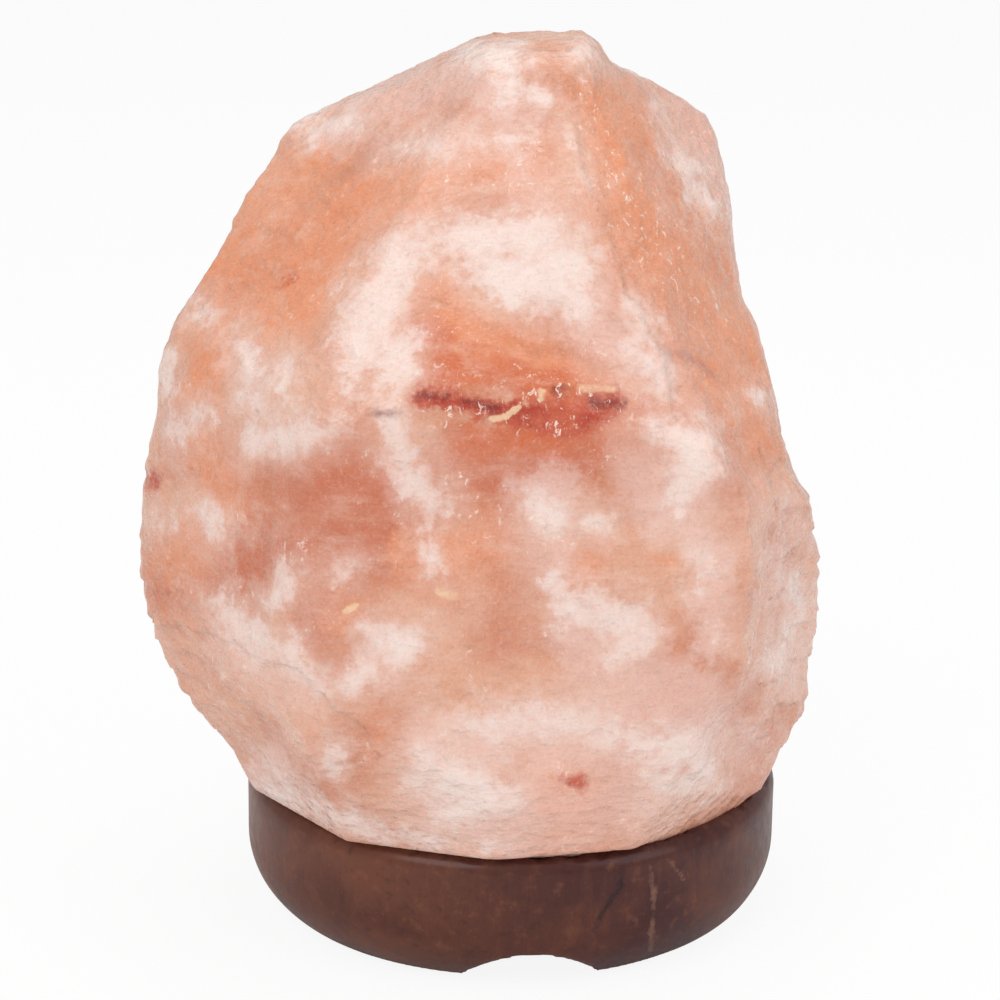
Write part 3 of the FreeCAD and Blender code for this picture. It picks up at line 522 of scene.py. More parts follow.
# drawn out or in, square to the view, until the outline is the one that shows
OUTLINE_STEPS = 720
OUTLINE_ROUNDS = 3
FOOT_SEEN = 796
BOX_MARGIN = 0.02 * MM
heart_seen = np.array(seen_at(HEART[None])).ravel()
edge = np.array(OUTLINE, float) - heart_seen
for _ in range(OUTLINE_ROUNDS):
    seen_x, seen_y = seen_at(spots)
    offset = np.stack((seen_x, seen_y), 1) - heart_seen
    seen_far = np.linalg.norm(offset, axis=1)
    step = ((np.arctan2(offset[:, 1], offset[:, 0]) / math.tau) % 1 * OUTLINE_STEPS).astype(int)
    most = np.zeros(OUTLINE_STEPS)
    np.maximum.at(most, step, np.where(free > 0, seen_far, 0))
    angle = (np.arange(OUTLINE_STEPS) + 0.5) / OUTLINE_STEPS * math.tau
    heading = np.stack((np.cos(angle), np.sin(angle)), 1)
    wanted = np.zeros(OUTLINE_STEPS)
    for start, end in zip(edge, np.roll(edge, -1, axis=0)):
        along = end - start
        cross = heading[:, 0] * along[1] - heading[:, 1] * along[0]
        away = (start[0] * along[1] - start[1] * along[0]) / cross
        share = (start[0] * heading[:, 1] - start[1] * heading[:, 0]) / cross
        hit = (away > 0) & (share >= 0) & (share <= 1)
        wanted[hit] = np.maximum(wanted[hit], away[hit])
    above_foot = wanted * heading[:, 1] + heart_seen[1] < FOOT_SEEN
    stretch = np.where((most > 0) & above_foot, wanted / np.maximum(most, 1), 1)
    stretch = np.convolve(np.concatenate((stretch[-4:], stretch, stretch[:4])), np.ones(9) / 9, "valid")
    share = ramp(seen_far / np.maximum(most[step], 1), 0.62, 1.0)
    share *= free * ramp(spots[:, 2], 36 * MM, 46 * MM)
    depth = (np.array(VIEW_STAND) - spots) @ np.array(view_back)
    pull = offset * ((stretch[step] - 1) * share)[:, None]
    pull *= (depth / (VIEW_LENS / VIEW_SENSOR * PICTURE))[:, None]
    spots += pull[:, :1] * np.array(view_right) - pull[:, 1:] * np.array(view_up)
block_low, block_high = (np.array(corner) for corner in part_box("salt_crystal"))
spots = np.clip(spots, block_low + BOX_MARGIN, block_high - BOX_MARGIN)
write_points(salt, spots)


# The stone's marks as they show from the front. Each is a stroke of round dabs that run together:
# (across, down, half width) in pixels of the photograph.
WHITE_CLOUDS_AND_RIDGE_LIGHT = [
    [(348, 392, 10), (360, 345, 27), (378, 300, 30), (398, 264, 22)],
    [(392, 372, 20), (404, 340, 12)],
    [(392, 250, 10), (446, 238, 18), (520, 236, 31), (566, 262, 32)],
    [(492, 270, 28), (534, 284, 34), (570, 296, 22), (590, 300, 8)],
    [(630, 350, 10), (652, 366, 12), (662, 392, 11)],
    # painted highlight along a ridge
    [(634, 300, 7), (646, 328, 11), (657, 348, 8)],
    [(655, 434, 12), (688, 440, 22), (700, 466, 18), (678, 500, 10)],
    [(677, 452, 5), (677, 512, 5)],
    [(238, 340, 7), (250, 360, 10), (246, 388, 8), (254, 408, 9)],
    [(284, 368, 12), (286, 398, 9)],
    [(256, 436, 15), (300, 438, 17), (328, 426, 9), (344, 412, 5)],
    [(200, 314, 9)], [(168, 362, 7), (166, 380, 7)], [(182, 432, 13), (196, 414, 9)],
    [(390, 416, 12), (404, 456, 14), (420, 492, 14), (443, 516, 9)],
    [(430, 530, 6), (430, 566, 6)],
    [(470, 52, 14), (505, 62, 24), (512, 96, 14)],
    [(520, 88, 4), (545, 102, 5)], [(500, 140, 5), (522, 141, 5)], [(484, 190, 5)],
    [(372, 156, 3), (420, 146, 4), (480, 141, 3)], [(310, 134, 5), (352, 118, 6)],
    # the first stroke on the next line is a painted highlight along a ridge
    [(563, 118, 3), (572, 146, 5), (581, 178, 3)], [(584, 56, 9)],
    [(674, 112, 8), (692, 150, 17), (702, 188, 14), (712, 206, 7)],
    [(760, 400, 7)], [(206, 515, 10), (216, 530, 10)], [(164, 520, 6)],
    [(284, 584, 12), (272, 604, 7)], [(346, 570, 8)],
    [(222, 608, 11), (246, 630, 15), (286, 654, 15), (322, 688, 7)],
    [(376, 640, 16), (405, 642, 17), (396, 664, 12)], [(371, 672, 10), (350, 690, 7)],
    [(595, 523, 10)],
    [(566, 604, 10), (598, 612, 17), (630, 620, 19), (640, 640, 14), (622, 652, 11)], [(556, 580, 8)],
    [(696, 586, 10), (700, 562, 7)], [(722, 624, 7)],
    [(536, 500, 14), (556, 524, 12)],
    [(793, 582, 7), (799, 608, 10), (792, 632, 7)], [(776, 660, 7)],
    [(424, 772, 18), (452, 790, 30), (496, 796, 24), (440, 816, 16)],
    [(470, 722, 12), (540, 714, 13), (606, 734, 15)],
    [(640, 742, 14), (690, 752, 22), (704, 776, 16), (660, 788, 14)],
    [(264, 786, 6), (310, 806, 7), (362, 824, 9), (430, 842, 8), (510, 850, 5)],
    [(333, 752, 8), (332, 764, 8)],
]
ORANGE_ZONES = [
    [(400, 112, 18), (445, 168, 26), (372, 205, 38), (312, 246, 44), (286, 300, 44), (262, 330, 26)],
    [(330, 150, 24), (270, 200, 34), (226, 270, 36), (214, 340, 30), (200, 390, 20)],
    [(470, 170, 24), (532, 166, 26)], [(200, 440, 16), (230, 500, 18), (180, 560, 20)],
    [(592, 108, 24), (618, 172, 36), (655, 240, 46), (694, 300, 50), (722, 366, 40), (748, 430, 26)],
    [(640, 120, 20), (720, 250, 20), (760, 340, 20)], [(420, 560, 26), (480, 540, 26)], [(582, 566, 18)],
    [(436, 300, 18), (468, 346, 36), (540, 366, 26), (606, 384, 18)],
    [(565, 800, 40)], [(350, 612, 7), (338, 622, 6)], [(376, 738, 8)], [(662, 560, 4), (692, 566, 3)],
    [(694, 742, 6)],
]
EMBER_ZONES = [[(424, 330, 8), (450, 366, 20), (520, 384, 18), (600, 398, 14)], [(290, 282, 4)],
               [(640, 410, 12), (556, 440, 20), (470, 446, 18)]]
SALMON_ZONES = [
    [(236, 480, 24), (320, 492, 46), (380, 484, 34)], [(412, 556, 32), (340, 536, 38), (270, 528, 40)],
    [(170, 590, 22), (216, 574, 40), (262, 560, 34)], [(462, 480, 34), (540, 466, 32), (600, 450, 20)],
    [(562, 348, 16), (606, 366, 14)], [(745, 440, 20), (722, 400, 14)],
    [(430, 330, 20), (470, 356, 26), (560, 376, 24)], [(500, 640, 10)],
    [(320, 600, 18), (310, 640, 12)], [(180, 460, 14), (176, 420, 10)],
]
PALE_ZONES = [
    [(318, 132, 14), (392, 104, 26), (470, 74, 30), (512, 110, 26)], [(395, 140, 14), (470, 132, 18)],
    [(676, 110, 16), (694, 150, 24), (706, 196, 18)], [(548, 500, 40), (560, 560, 26)],
    [(690, 440, 30), (690, 500, 30), (716, 580, 22), (706, 640, 20)],
    [(600, 650, 44), (680, 700, 40), (600, 710, 40)], [(648, 478, 30), (660, 520, 26)],
    [(240, 370, 16), (270, 420, 20)], [(390, 650, 26)], [(640, 690, 30), (700, 700, 34), (740, 740, 30)],
    [(240, 640, 14), (310, 690, 14)], [(430, 740, 34), (600, 740, 40), (700, 744, 36)],
    [(440, 820, 40), (520, 820, 44), (640, 800, 40)], [(770, 560, 20), (796, 610, 26), (786, 680, 24)],
    [(780, 500, 18), (800, 540, 14)], [(272, 760, 20), (300, 800, 16)],
    [(500, 150, 12), (548, 205, 18)], [(590, 300, 30), (640, 370, 26)],
]
RED_VEINS = [[(420, 396, 5), (460, 402, 6), (500, 410, 7), (545, 418, 11), (580, 418, 12), (612, 402, 8)],
             [(562, 785, 0), (582, 783, 1)], [(154, 480, 3)]]
DARK_VEINS = [[(418, 395, 4), (448, 398, 4)], [(462, 402, 3), (478, 404, 5), (498, 410, 6)],
              [(556, 391, 2), (570, 389, 2)], [(594, 403, 5), (624, 405, 6)],
              [(366, 414, 2), (398, 412, 2)]]
BRUISES = [[(660, 347, 2), (678, 354, 3), (696, 360, 3), (712, 374, 3)], [(676, 350, 1), (700, 352, 2)]]
CREAM_FLAKES = [[(490, 419, 3), (506, 416, 4), (521, 406, 3)], [(542, 392, 3), (541, 399, 3)],
                [(436, 592, 3), (455, 595, 3)], [(344, 610, 3), (356, 606, 3)], [(486, 354, 3)],
                [(580, 387, 2), (614, 389, 2)], [(222, 678, 2), (226, 675, 2)], [(318, 679, 2)]]
# where the painted highlights of small glints lie thick
GLINT_ZONES = [[(590, 90, 16), (610, 180, 26), (650, 240, 34), (700, 300, 30)],
               [(400, 150, 22), (470, 175, 20), (530, 160, 22)], [(430, 400, 14), (610, 400, 26)],
               [(460, 500, 20), (560, 540, 20)]]

# Each kind of mark with its strokes. On the sides and back, where nothing shows them, the same kinds lie
# at random: the size of a patch in millimetres, and a level that makes it rare when it is low.
MARKS = [
    ("clouds", WHITE_CLOUDS_AND_RIDGE_LIGHT, 26, -12), ("orange", ORANGE_ZONES, 46, 2), ("pale", PALE_ZONES, 40, -4),
    ("ember", EMBER_ZONES, 40, -30), ("salmon", SALMON_ZONES, 40, -14), ("red", RED_VEINS, 30, -48),
    ("dark", DARK_VEINS, 18, -72), ("bruise", BRUISES, 18, -80), ("flakes", CREAM_FLAKES, 14, -80),
    ("glints", GLINT_ZONES, 40, -6),
]
seen_x, seen_y = seen_at(spots)
front = ramp(spots @ (np.array(view_back) * (1, 1, 0)), -0.022, 0.004)
for name, strokes, size, level in MARKS:
    wild = cloudy(spots * (1, 1, 1.7), size * MM, 3, 3.0 + len(name)) * MARK_LIMIT + level
    wild = np.clip(wild, -MARK_LIMIT, MARK_LIMIT)
    paint(salt, name, front * dabbed(strokes) + (1 - front) * wild)

stone = Shader("rock_salt")
broad = stone.noise(34, 3, 0.5)
swirl = stone.noise(120, 5, 0.6)
ragged = stone.noise(420, 4, 0.62)
grainy = stone.noise(1500, 3, 0.6)
streak = stone.noise(2.4, 5, 0.62, stone.stretch((26, 60, 120), (0.4, -0.5, 0.2)))
mist = stone.noise(52, 6, 0.62, distortion=0.4)
offset = stone.math("MULTIPLY", stone.math("SUBTRACT", swirl, 0.5), 90.0)
offset = stone.math("MULTIPLY_ADD", stone.math("SUBTRACT", ragged, 0.5), 46.0, offset)
softness = stone.band(stone.noise(44, 2), 0.36, 0.64, 0.5, 2.2)


def marked(name, most, width, raggedness=1.0, inset=0.0):
    """A mask from one painted mark, its edge ragged, and crisp in places and soft in others."""
    value = stone.math("MULTIPLY_ADD", offset, raggedness, stone.math("SUBTRACT", stone.painted(name), inset))
    edge = stone.math("MULTIPLY", softness, width)
    return stone.band(value, stone.math("MULTIPLY", edge, -1.0), edge, 0.0, most)


rusty = stone.mix(stone.band(swirl, 0.42, 0.6), srgb(178, 46, 14), srgb(200, 92, 62))
# the pattern of the painted highlights: small bright glints
glint_noise = stone.noise(620, 4, 0.7, stone.stretch((1.0, 1.0, 0.7), (0.3, 0.5, 0.4)), 0.6)
painted_glint = stone.band(glint_noise, 0.595, 0.64)
colour = stone.layered(srgb(225, 168, 140), (
    (stone.band(broad, 0.36, 0.64), srgb(210, 140, 110)),
    (marked("salmon", 0.85, 34, 0.7), srgb(202, 114, 82)),
    (marked("orange", 0.86, 26, 0.8), srgb(232, 150, 108)),
    (marked("ember", 0.85, 14, 0.9), srgb(208, 106, 62)),
    (stone.band(streak, 0.5, 0.72, 0.0, 0.26), srgb(240, 204, 186)),
    (stone.band(mist, 0.5, 0.66, 0.0, 0.2), srgb(240, 206, 190)),
    (stone.band(mist, 0.46, 0.34, 0.0, 0.22), srgb(204, 124, 90)),
    (marked("pale", 0.5, 26, 0.8), srgb(241, 210, 201)),
    # white brine clouds, and painted highlights along two ridges
    (marked("clouds", 0.45, 24, 0.7, -12.0), srgb(238, 208, 196)),
    (marked("clouds", 0.62, 8, 0.8, 1.0), srgb(240, 214, 204)),
    (marked("clouds", 0.6, 14, 0.8, 12.0), srgb(245, 228, 220)),
    (marked("red", 0.95, 6, 0.5, -4.0), rusty),
    (marked("dark", 0.8, 3.5, 0.3, 1.0), srgb(122, 38, 28)),
    (marked("bruise", 0.4, 4.0, 0.3), srgb(150, 70, 62)),
    (marked("flakes", 0.85, 1.5, 0.15), srgb(240, 204, 166)),
    # painted highlights: small glints, thick in the glint zones and scattered where the swirl runs high
    (stone.math("MULTIPLY", painted_glint, marked("glints", 0.9, 14)), srgb(250, 226, 212)),
    (stone.math("MULTIPLY", painted_glint, stone.band(swirl, 0.5, 0.62, 0.0, 0.6)), srgb(248, 224, 212)),
    (stone.band(grainy, 0.52, 0.72, 0.0, 0.14), srgb(250, 228, 216)),
    (stone.band(grainy, 0.46, 0.28, 0.0, 0.16), srgb(168, 84, 60)),
))
facets = stone.cells(300, stone.stretch((1.0, 1.0, 1.5), (0.4, -0.5, 0.2)))
splinters = stone.cells(820, stone.stretch((0.7, 1.0, 1.6), (0.4, -0.5, 0.2)))
grit = stone.bump(swirl, 2.2 * MM, 0.5)
grit = stone.bump(facets, 0.9 * MM, 0.5, grit)
grit = stone.bump(splinters, 0.22 * MM, 0.6, grit)
grit = stone.bump(grainy, 0.12 * MM, 0.6, grit)
stone.set(Base_Color=colour, Roughness=stone.band(ragged, 0.35, 0.65, 0.18, 0.46), Specular_IOR_Level=0.45,
          Sheen_Weight=0.12, Sheen_Roughness=0.4, Sheen_Tint=(1.0, 0.86, 0.78, 1.0),
          Coat_Weight=0.14, Coat_Roughness=0.1,
          Subsurface_Weight=0.35, Subsurface_Radius=(1.0, 0.5, 0.34), Subsurface_Scale=1.8 * MM, Normal=grit)
salt.data.materials.append(stone.material)
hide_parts("salt_crystal")
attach(salt, "lamp")

# ---------------------------------------------------------------- salt plugs
# Grey nylon wall plugs pushed up into bores under the salt, where the base screws spread them. They are
# injection moulded, and show faint flow lines and a dusting of salt.
nylon = Shader("grey_nylon")
flow = nylon.noise(1.0, 3, 0.5, nylon.stretch((900, 900, 120)), 1.0)
dusty = nylon.noise(420, 3)
nylon.set(Base_Color=nylon.mix(nylon.band(dusty, 0.4, 0.7), srgb(112, 114, 117), srgb(134, 135, 136)),
          Roughness=nylon.band(flow, 0.35, 0.65, 0.38, 0.56), Normal=nylon.bump(flow, 0.06 * MM, 0.5))
dress(nylon, "salt_plugs")

# ---------------------------------------------------------------- base screws and washers
# Slotted wood screws of zinc-plated steel, driven up through the base into the plugs over flat washers.
# The plating is bright and spangled, and the driver has scuffed it.
SPANGLE = 900


class Effect(Shader):
    """A node group that several finishes share, with named inputs and outputs."""

    def __init__(self, name, inputs, outputs):
        self.tree = bpy.data.node_groups.new(name, "ShaderNodeTree")
        for key, value in inputs.items():
            socket = self.tree.interface.new_socket(key, in_out="INPUT", socket_type="NodeSocketFloat")
            socket.default_value = value
        for key in outputs:
            self.tree.interface.new_socket(key, in_out="OUTPUT", socket_type="NodeSocketFloat")
        self.given = self.node("NodeGroupInput").outputs
        self.made = self.node("NodeGroupOutput").inputs
        self.place = self.node("ShaderNodeTexCoord").outputs["Object"]


handling = Effect("handling_marks", {"Smudge Size": 260.0, "Scratch Size": 500.0}, ("Smudge", "Scratch"))
smudge = handling.noise(handling.given["Smudge Size"], 4, 0.6, distortion=0.5)
handling.feed(handling.made["Smudge"], handling.band(smudge, 0.42, 0.66))
lengthwise = handling.stretch((1.0, 0.08, 0.6), (0.5, 0.9, 0.3))
scored = handling.noise(handling.given["Scratch Size"], 3, 0.7, lengthwise)
handling.feed(handling.made["Scratch"], handling.band(scored, 0.6, 0.7))


def bare_metal(name, tone, dull_tone, smooth, rough, smudge_size=260.0, scratch_size=1600.0):
    """A metal that has been handled: dull in smudges, and finely scratched."""
    metal = Shader(name)
    marks = metal.use(handling, {"Smudge Size": smudge_size, "Scratch Size": scratch_size})
    tone = metal.mix(marks["Smudge"], tone, dull_tone)
    dull = metal.band(marks["Smudge"], 0.0, 1.0, smooth, rough)
    dull = metal.math("MULTIPLY_ADD", marks["Scratch"], 0.12, dull)
    metal.set(Base_Color=tone, Metallic=1.0, Roughness=dull,
              Normal=metal.bump(marks["Scratch"], -0.02 * MM, 0.4))
    return metal, tone


zinc, plated = bare_metal("zinc_plated_steel", srgb(196, 199, 204), srgb(160, 164, 172), 0.22, 0.42)
crystals = zinc.cells(SPANGLE, output="Color")
zinc.set(Base_Color=zinc.mix(zinc.band(crystals, 0.3, 0.8, 0.0, 0.3), plated, srgb(224, 226, 230)))
dress(zinc, "base_screws", "screw_washers")

# ---------------------------------------------------------------- holder plate, spring arms and rivets
# A round plate pressed from zinc-plated steel sheet, with three leaf springs riveted on it that grip
# the bore of the base. The springs are hardened steel, and the heat has left them straw and blue.
dress(zinc, "holder_plate", "clip_rivets")
spring, ground = bare_metal("spring_steel", srgb(148, 150, 156), srgb(118, 120, 128), 0.24, 0.4,
                            smudge_size=180.0, scratch_size=1900.0)
heat = spring.noise(150, 3, 0.5)
spring.set(Base_Color=spring.layered(ground, (
    (spring.band(heat, 0.5, 0.62, 0.0, 0.6), srgb(168, 146, 104)),
    (spring.band(heat, 0.42, 0.3, 0.0, 0.6), srgb(84, 92, 124)),
)))
dress(spring, "spring_arm_1", "spring_arm_2", "spring_arm_3")

# ---------------------------------------------------------------- nipple, lock washer and nut
# A threaded steel tube, the way in for the cord, that clamps the lamp holder on the plate with a
# hexagon nut and a washer. The thread is rolled, fine and right-handed.
TUBE_BORE = 3.5 * MM
TUBE_RADIUS = 5.0 * MM
TUBE_PITCH = 1.0 * MM
TUBE_THREAD = 0.35 * MM
TUBE_THREAD_RUN = 0.8 * MM
TUBE_AROUND = 48
TUBE_STEP = 0.16 * MM


def spun(name, outline, around, step, thread):
    """A closed ring turned from an outline of (radius, height), its skin sunk by what thread says."""
    points = []
    for start, end in zip(outline, outline[1:] + outline[:1]):
        parts = max(1, math.ceil(math.dist(start, end) / step))
        for part in range(parts):
            points.append([here + (there - here) * part / parts for here, there in zip(start, end)])
    rows = len(points)
    spots, faces = [], []
    for turn in range(around):
        angle = turn / around * math.tau
        for row, (radius, height) in enumerate(points):
            far = radius - thread(radius, height, turn / around)
            spots.append((far * math.cos(angle), far * math.sin(angle), height))
            here, beside = turn * rows, (turn + 1) % around * rows
            above = (row + 1) % rows
            faces.append((here + row, beside + row, beside + above, here + above))
    mesh = bpy.data.meshes.new(name)
    mesh.from_pydata(spots, [], faces)
    work = bmesh.new()
    work.from_mesh(mesh)
    bmesh.ops.recalc_face_normals(work, faces=work.faces)
    for face in work.faces:
        face.smooth = True
    work.to_mesh(mesh)
    work.free()
    mesh.set_sharp_from_angle(angle=math.radians(40))
    piece = bpy.data.objects.new(name, mesh)
    scene.collection.objects.link(piece)
    return piece


def sleeve(bore, radius, low, high):
    """The outline of a plain tube."""
    return [(bore, low), (radius, low), (radius, high), (bore, high)]


def hand_over(piece, shader, node, body):
    """Gives a finished piece its material, and lets it stand for its CAD node on that node's body."""
    piece.data.materials.append(shader.material)
    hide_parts(node)
    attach(piece, body)


def rolled(height, turn, pitch, depth, low, high, run):
    """How deep a right-handed rolled thread is sunk, fading out at both ends."""
    wave = 0.5 - 0.5 * math.cos(math.tau * (height / pitch - turn))
    fade = min(1.0, max(0.0, (height - low) / run)) * min(1.0, max(0.0, (high - height) / run))
    return depth * wave * fade


def tube_thread(radius, height, turn):
    """The thread runs the whole length of the tube, on the outside only."""
    outside = radius > TUBE_RADIUS - MM / 100
    return outside * rolled(height, turn, TUBE_PITCH, TUBE_THREAD, tube_low, tube_high, TUBE_THREAD_RUN)


tube_low, tube_high = (corner.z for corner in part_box("nipple_tube"))
tube = spun("threaded_tube", sleeve(TUBE_BORE, TUBE_RADIUS, tube_low, tube_high),
            TUBE_AROUND, TUBE_STEP, tube_thread)
hand_over(tube, zinc, "nipple_tube", "holder")
dress(zinc, "nipple_washer", "nipple_nut")

# ---------------------------------------------------------------- cord bush
# A white nylon bush pressed into the tube from below. Its rounded mouth keeps the steel off a cord, and
# handling has greyed it a little.
bushing = Shader("white_nylon")
handled = bushing.use(handling, {"Smudge Size": 320.0, "Scratch Size": 1400.0})
bushing.set(Base_Color=bushing.mix(handled["Smudge"], srgb(232, 230, 222), srgb(214, 209, 197)),
            Roughness=bushing.band(handled["Smudge"], 0.0, 1.0, 0.3, 0.46), Subsurface_Weight=0.2,
            Subsurface_Scale=0.8 * MM, Normal=bushing.bump(handled["Scratch"], -0.03 * MM, 0.5))
dress(bushing, "cord_bush")

# ---------------------------------------------------------------- holder cap and holder body
# The two halves of an E14 lamp holder, pressed from black phenolic: a domed cap with grips round it,
# and a plain sleeve. The moulding is glossy, with a faint orange-peel skin and a lighter mottle of its
# filler.
GRIP_COUNT = 40
GRIP_LENGTH = 5.0 * MM
GRIP_RADIUS = 0.32 * MM
GRIP_SINK = 0.12 * MM
GRIP_DROP = 3.1 * MM
phenolic = Shader("black_phenolic")
marks = phenolic.use(handling, {"Smudge Size": 210.0, "Scratch Size": 1300.0})
peel = phenolic.noise(1100, 2, 0.5)
filler = phenolic.noise(240, 5, 0.7)
moulded = phenolic.layered(srgb(17, 16, 16), (
    (phenolic.band(filler, 0.4, 0.7), srgb(34, 30, 28)),
    (phenolic.math("MULTIPLY", marks["Scratch"], 0.5), srgb(70, 66, 62)),
))
phenolic.set(Base_Color=moulded, Roughness=phenolic.band(marks["Smudge"], 0.0, 1.0, 0.2, 0.36),
             Specular_IOR_Level=0.5, Normal=phenolic.bump(peel, 0.05 * MM, 0.4))
dress(phenolic, "holder_cap", "holder_body")


def node_tree(name, inputs):
    """An empty geometry node tree with named inputs, and its input and output nodes."""
    tree = bpy.data.node_groups.new(name, "GeometryNodeTree")
    tree.interface.new_socket("Geometry", in_out="INPUT", socket_type="NodeSocketGeometry")
    tree.interface.new_socket("Geometry", in_out="OUTPUT", socket_type="NodeSocketGeometry")
    for key, kind in inputs.items():
        tree.interface.new_socket(key, in_out="INPUT", socket_type=kind)
    return tree, tree.nodes.new("NodeGroupInput").outputs, tree.nodes.new("NodeGroupOutput").inputs


def add(tree, kind, links, **settings):
    """A node with its settings, and its inputs linked to nodes or sockets or set to values."""
    made = tree.nodes.new(kind)
    for key, value in settings.items():
        setattr(made, key, value)
    for key, value in links.items():
        if isinstance(value, bpy.types.Node):
            value = value.outputs[0]
        if isinstance(value, bpy.types.NodeSocket):
            tree.links.new(value, made.inputs[key])
        else:
            made.inputs[key].default_value = value
    return made


def stand_up(tree, given, made, shape, turn=(0.0, 0.0, 0.0)):
    """Ends a tree: the shape turned and lifted to its level, made real, and given its finish."""
    level = add(tree, "ShaderNodeCombineXYZ", {"Z": given["Level"]})
    moved = add(tree, "GeometryNodeTransform", {"Geometry": shape, "Translation": level, "Rotation": turn})
    real = add(tree, "GeometryNodeRealizeInstances", {"Geometry": moved})
    coated = add(tree, "GeometryNodeSetMaterial", {"Geometry": real, "Material": given["Finish"]})
    tree.links.new(coated.outputs[0], made[0])


def grown(name, tree, values):
    """The plain mesh that a geometry node tree makes from these values of its named inputs."""
    maker = bpy.data.objects.new(name, bpy.data.meshes.new(name))
    scene.collection.objects.link(maker)
    modifier = maker.modifiers.new(name, "NODES")
    modifier.node_group = tree
    for item in tree.interface.items_tree:
        if item.in_out == "INPUT" and item.name in values:
            modifier[item.identifier] = values[item.name]
    evaluated = maker.evaluated_get(bpy.context.evaluated_depsgraph_get())
    mesh = bpy.data.meshes.new_from_object(evaluated)
    maker.modifiers.clear()
    maker.data = mesh
    mesh.name = name
    return maker


grip_tree, given, made = node_tree("grip_ribs", {
    "Ribs": "NodeSocketInt", "Reach": "NodeSocketFloat", "Level": "NodeSocketFloat",
    "Length": "NodeSocketFloat", "Thickness": "NodeSocketFloat", "Finish": "NodeSocketMaterial"})
ring = add(grip_tree, "GeometryNodeCurvePrimitiveCircle",
           {"Resolution": given["Ribs"], "Radius": given["Reach"]})
bar = add(grip_tree, "GeometryNodeMeshCylinder",
          {"Vertices": 8, "Side Segments": 1, "Radius": given["Thickness"], "Depth": given["Length"]})
placed = add(grip_tree, "GeometryNodeInstanceOnPoints", {"Points": ring, "Instance": bar})
stand_up(grip_tree, given, made, placed)
dome_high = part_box("holder_cap")[1]
grips = grown("cap_grips", grip_tree, {
    "Ribs": GRIP_COUNT, "Reach": dome_high.x - GRIP_SINK, "Level": dome_high.z - GRIP_DROP,
    "Length": GRIP_LENGTH, "Thickness": GRIP_RADIUS, "Finish": phenolic.material})
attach(grips, "holder")

# ---------------------------------------------------------------- terminal block and screws
# A puck of cream steatite inside the holder that carries the live parts, and the two brass screws
# that clamp the cord's wires. The ceramic is pressed dry, so it is matt and lightly speckled.
steatite = Shader("steatite")
pressed = steatite.noise(1500, 4, 0.7)
specks = steatite.cells(1300)
ceramic = steatite.layered(srgb(228, 221, 203), (
    (steatite.band(pressed, 0.4, 0.65), srgb(241, 236, 222)),
    (steatite.band(specks, 0.16, 0.1, 0.0, 0.6), srgb(160, 142, 116)),
))
steatite.set(Base_Color=ceramic, Roughness=steatite.band(pressed, 0.3, 0.7, 0.45, 0.62),
             Normal=steatite.bump(pressed, 0.05 * MM, 0.6))
dress(steatite, "terminal_block")
brass = bare_metal("brass", srgb(214, 176, 98), srgb(176, 132, 66), 0.2, 0.42)[0]
dress(brass, "terminal_screws")

# ---------------------------------------------------------------- socket shell and centre contact
# The brass shell that the bulb screws into, its thread rolled inwards, and the strip of springy brass
# below it that meets the bulb's tip.
THREAD_PITCH = 2.822 * MM
THREAD_RUN = 1.0 * MM
THREAD_AROUND = 80
SHELL_BORE = 7.1 * MM
SHELL_OUTER = 7.45 * MM
SHELL_THREAD = 0.5 * MM
SHELL_THREAD_LOW = 51.2 * MM
SHELL_THREAD_HIGH = 56.4 * MM
SHELL_STEP = 0.28 * MM


def shell_thread(radius, height, turn):
    """Sheet rolled through: it is sunk as much inside as outside."""
    return rolled(height, turn, THREAD_PITCH, SHELL_THREAD, SHELL_THREAD_LOW, SHELL_THREAD_HIGH, THREAD_RUN)


shell_low, shell_high = (corner.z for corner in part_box("socket_shell"))
shell = spun("threaded_shell", sleeve(SHELL_BORE, SHELL_OUTER, shell_low, shell_high),
             THREAD_AROUND, SHELL_STEP, shell_thread)
hand_over(shell, brass, "socket_shell", "holder")
dress(brass, "centre_contact")

# ---------------------------------------------------------------- bulb tip and cap
# The foot of the bulb: a brass contact under a ring of black glass, and a thin nickel-plated brass cap
# with the E14 thread rolled into it. Above the thread the cap is a plain skirt crimped on the glass.
CAP_WALL = 0.3 * MM
CAP_RADIUS = 6.95 * MM
CAP_THREAD = 0.65 * MM
CAP_THREAD_LOW = 50.1 * MM
CAP_THREAD_HIGH = 58.4 * MM
CAP_STEP = 0.24 * MM


def cap_thread(radius, height, turn):
    """As in the shell, and in step with it, so that the bulb's thread lies in the shell's."""
    return rolled(height, turn, THREAD_PITCH, CAP_THREAD, CAP_THREAD_LOW, CAP_THREAD_HIGH, THREAD_RUN)


dress(brass, "bulb_pip")
insulator = Shader("black_glass")
poured = insulator.noise(300, 4, 0.6, distortion=1.5)
insulator.set(Base_Color=insulator.mix(insulator.band(poured, 0.4, 0.65), srgb(12, 10, 14), srgb(38, 26, 44)),
              Roughness=insulator.band(poured, 0.3, 0.7, 0.06, 0.18), Specular_IOR_Level=0.6)
dress(insulator, "bulb_insulator")
nickel = bare_metal("nickel_plated_brass", srgb(206, 202, 192), srgb(178, 170, 150), 0.14, 0.3)[0]
cap_low, cap_high = (corner.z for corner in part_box("bulb_cap"))
inner = CAP_RADIUS - CAP_WALL
cap_outline = [
    (inner - CAP_WALL, cap_low), (CAP_RADIUS, cap_low + CAP_WALL), (CAP_RADIUS, cap_high),
    (inner, cap_high), (inner, cap_low + 2 * CAP_WALL), (inner - CAP_WALL, cap_low + CAP_WALL),
]
cap = spun("threaded_cap", cap_outline, THREAD_AROUND, CAP_STEP, cap_thread)
hand_over(cap, nickel, "bulb_cap", "bulb")

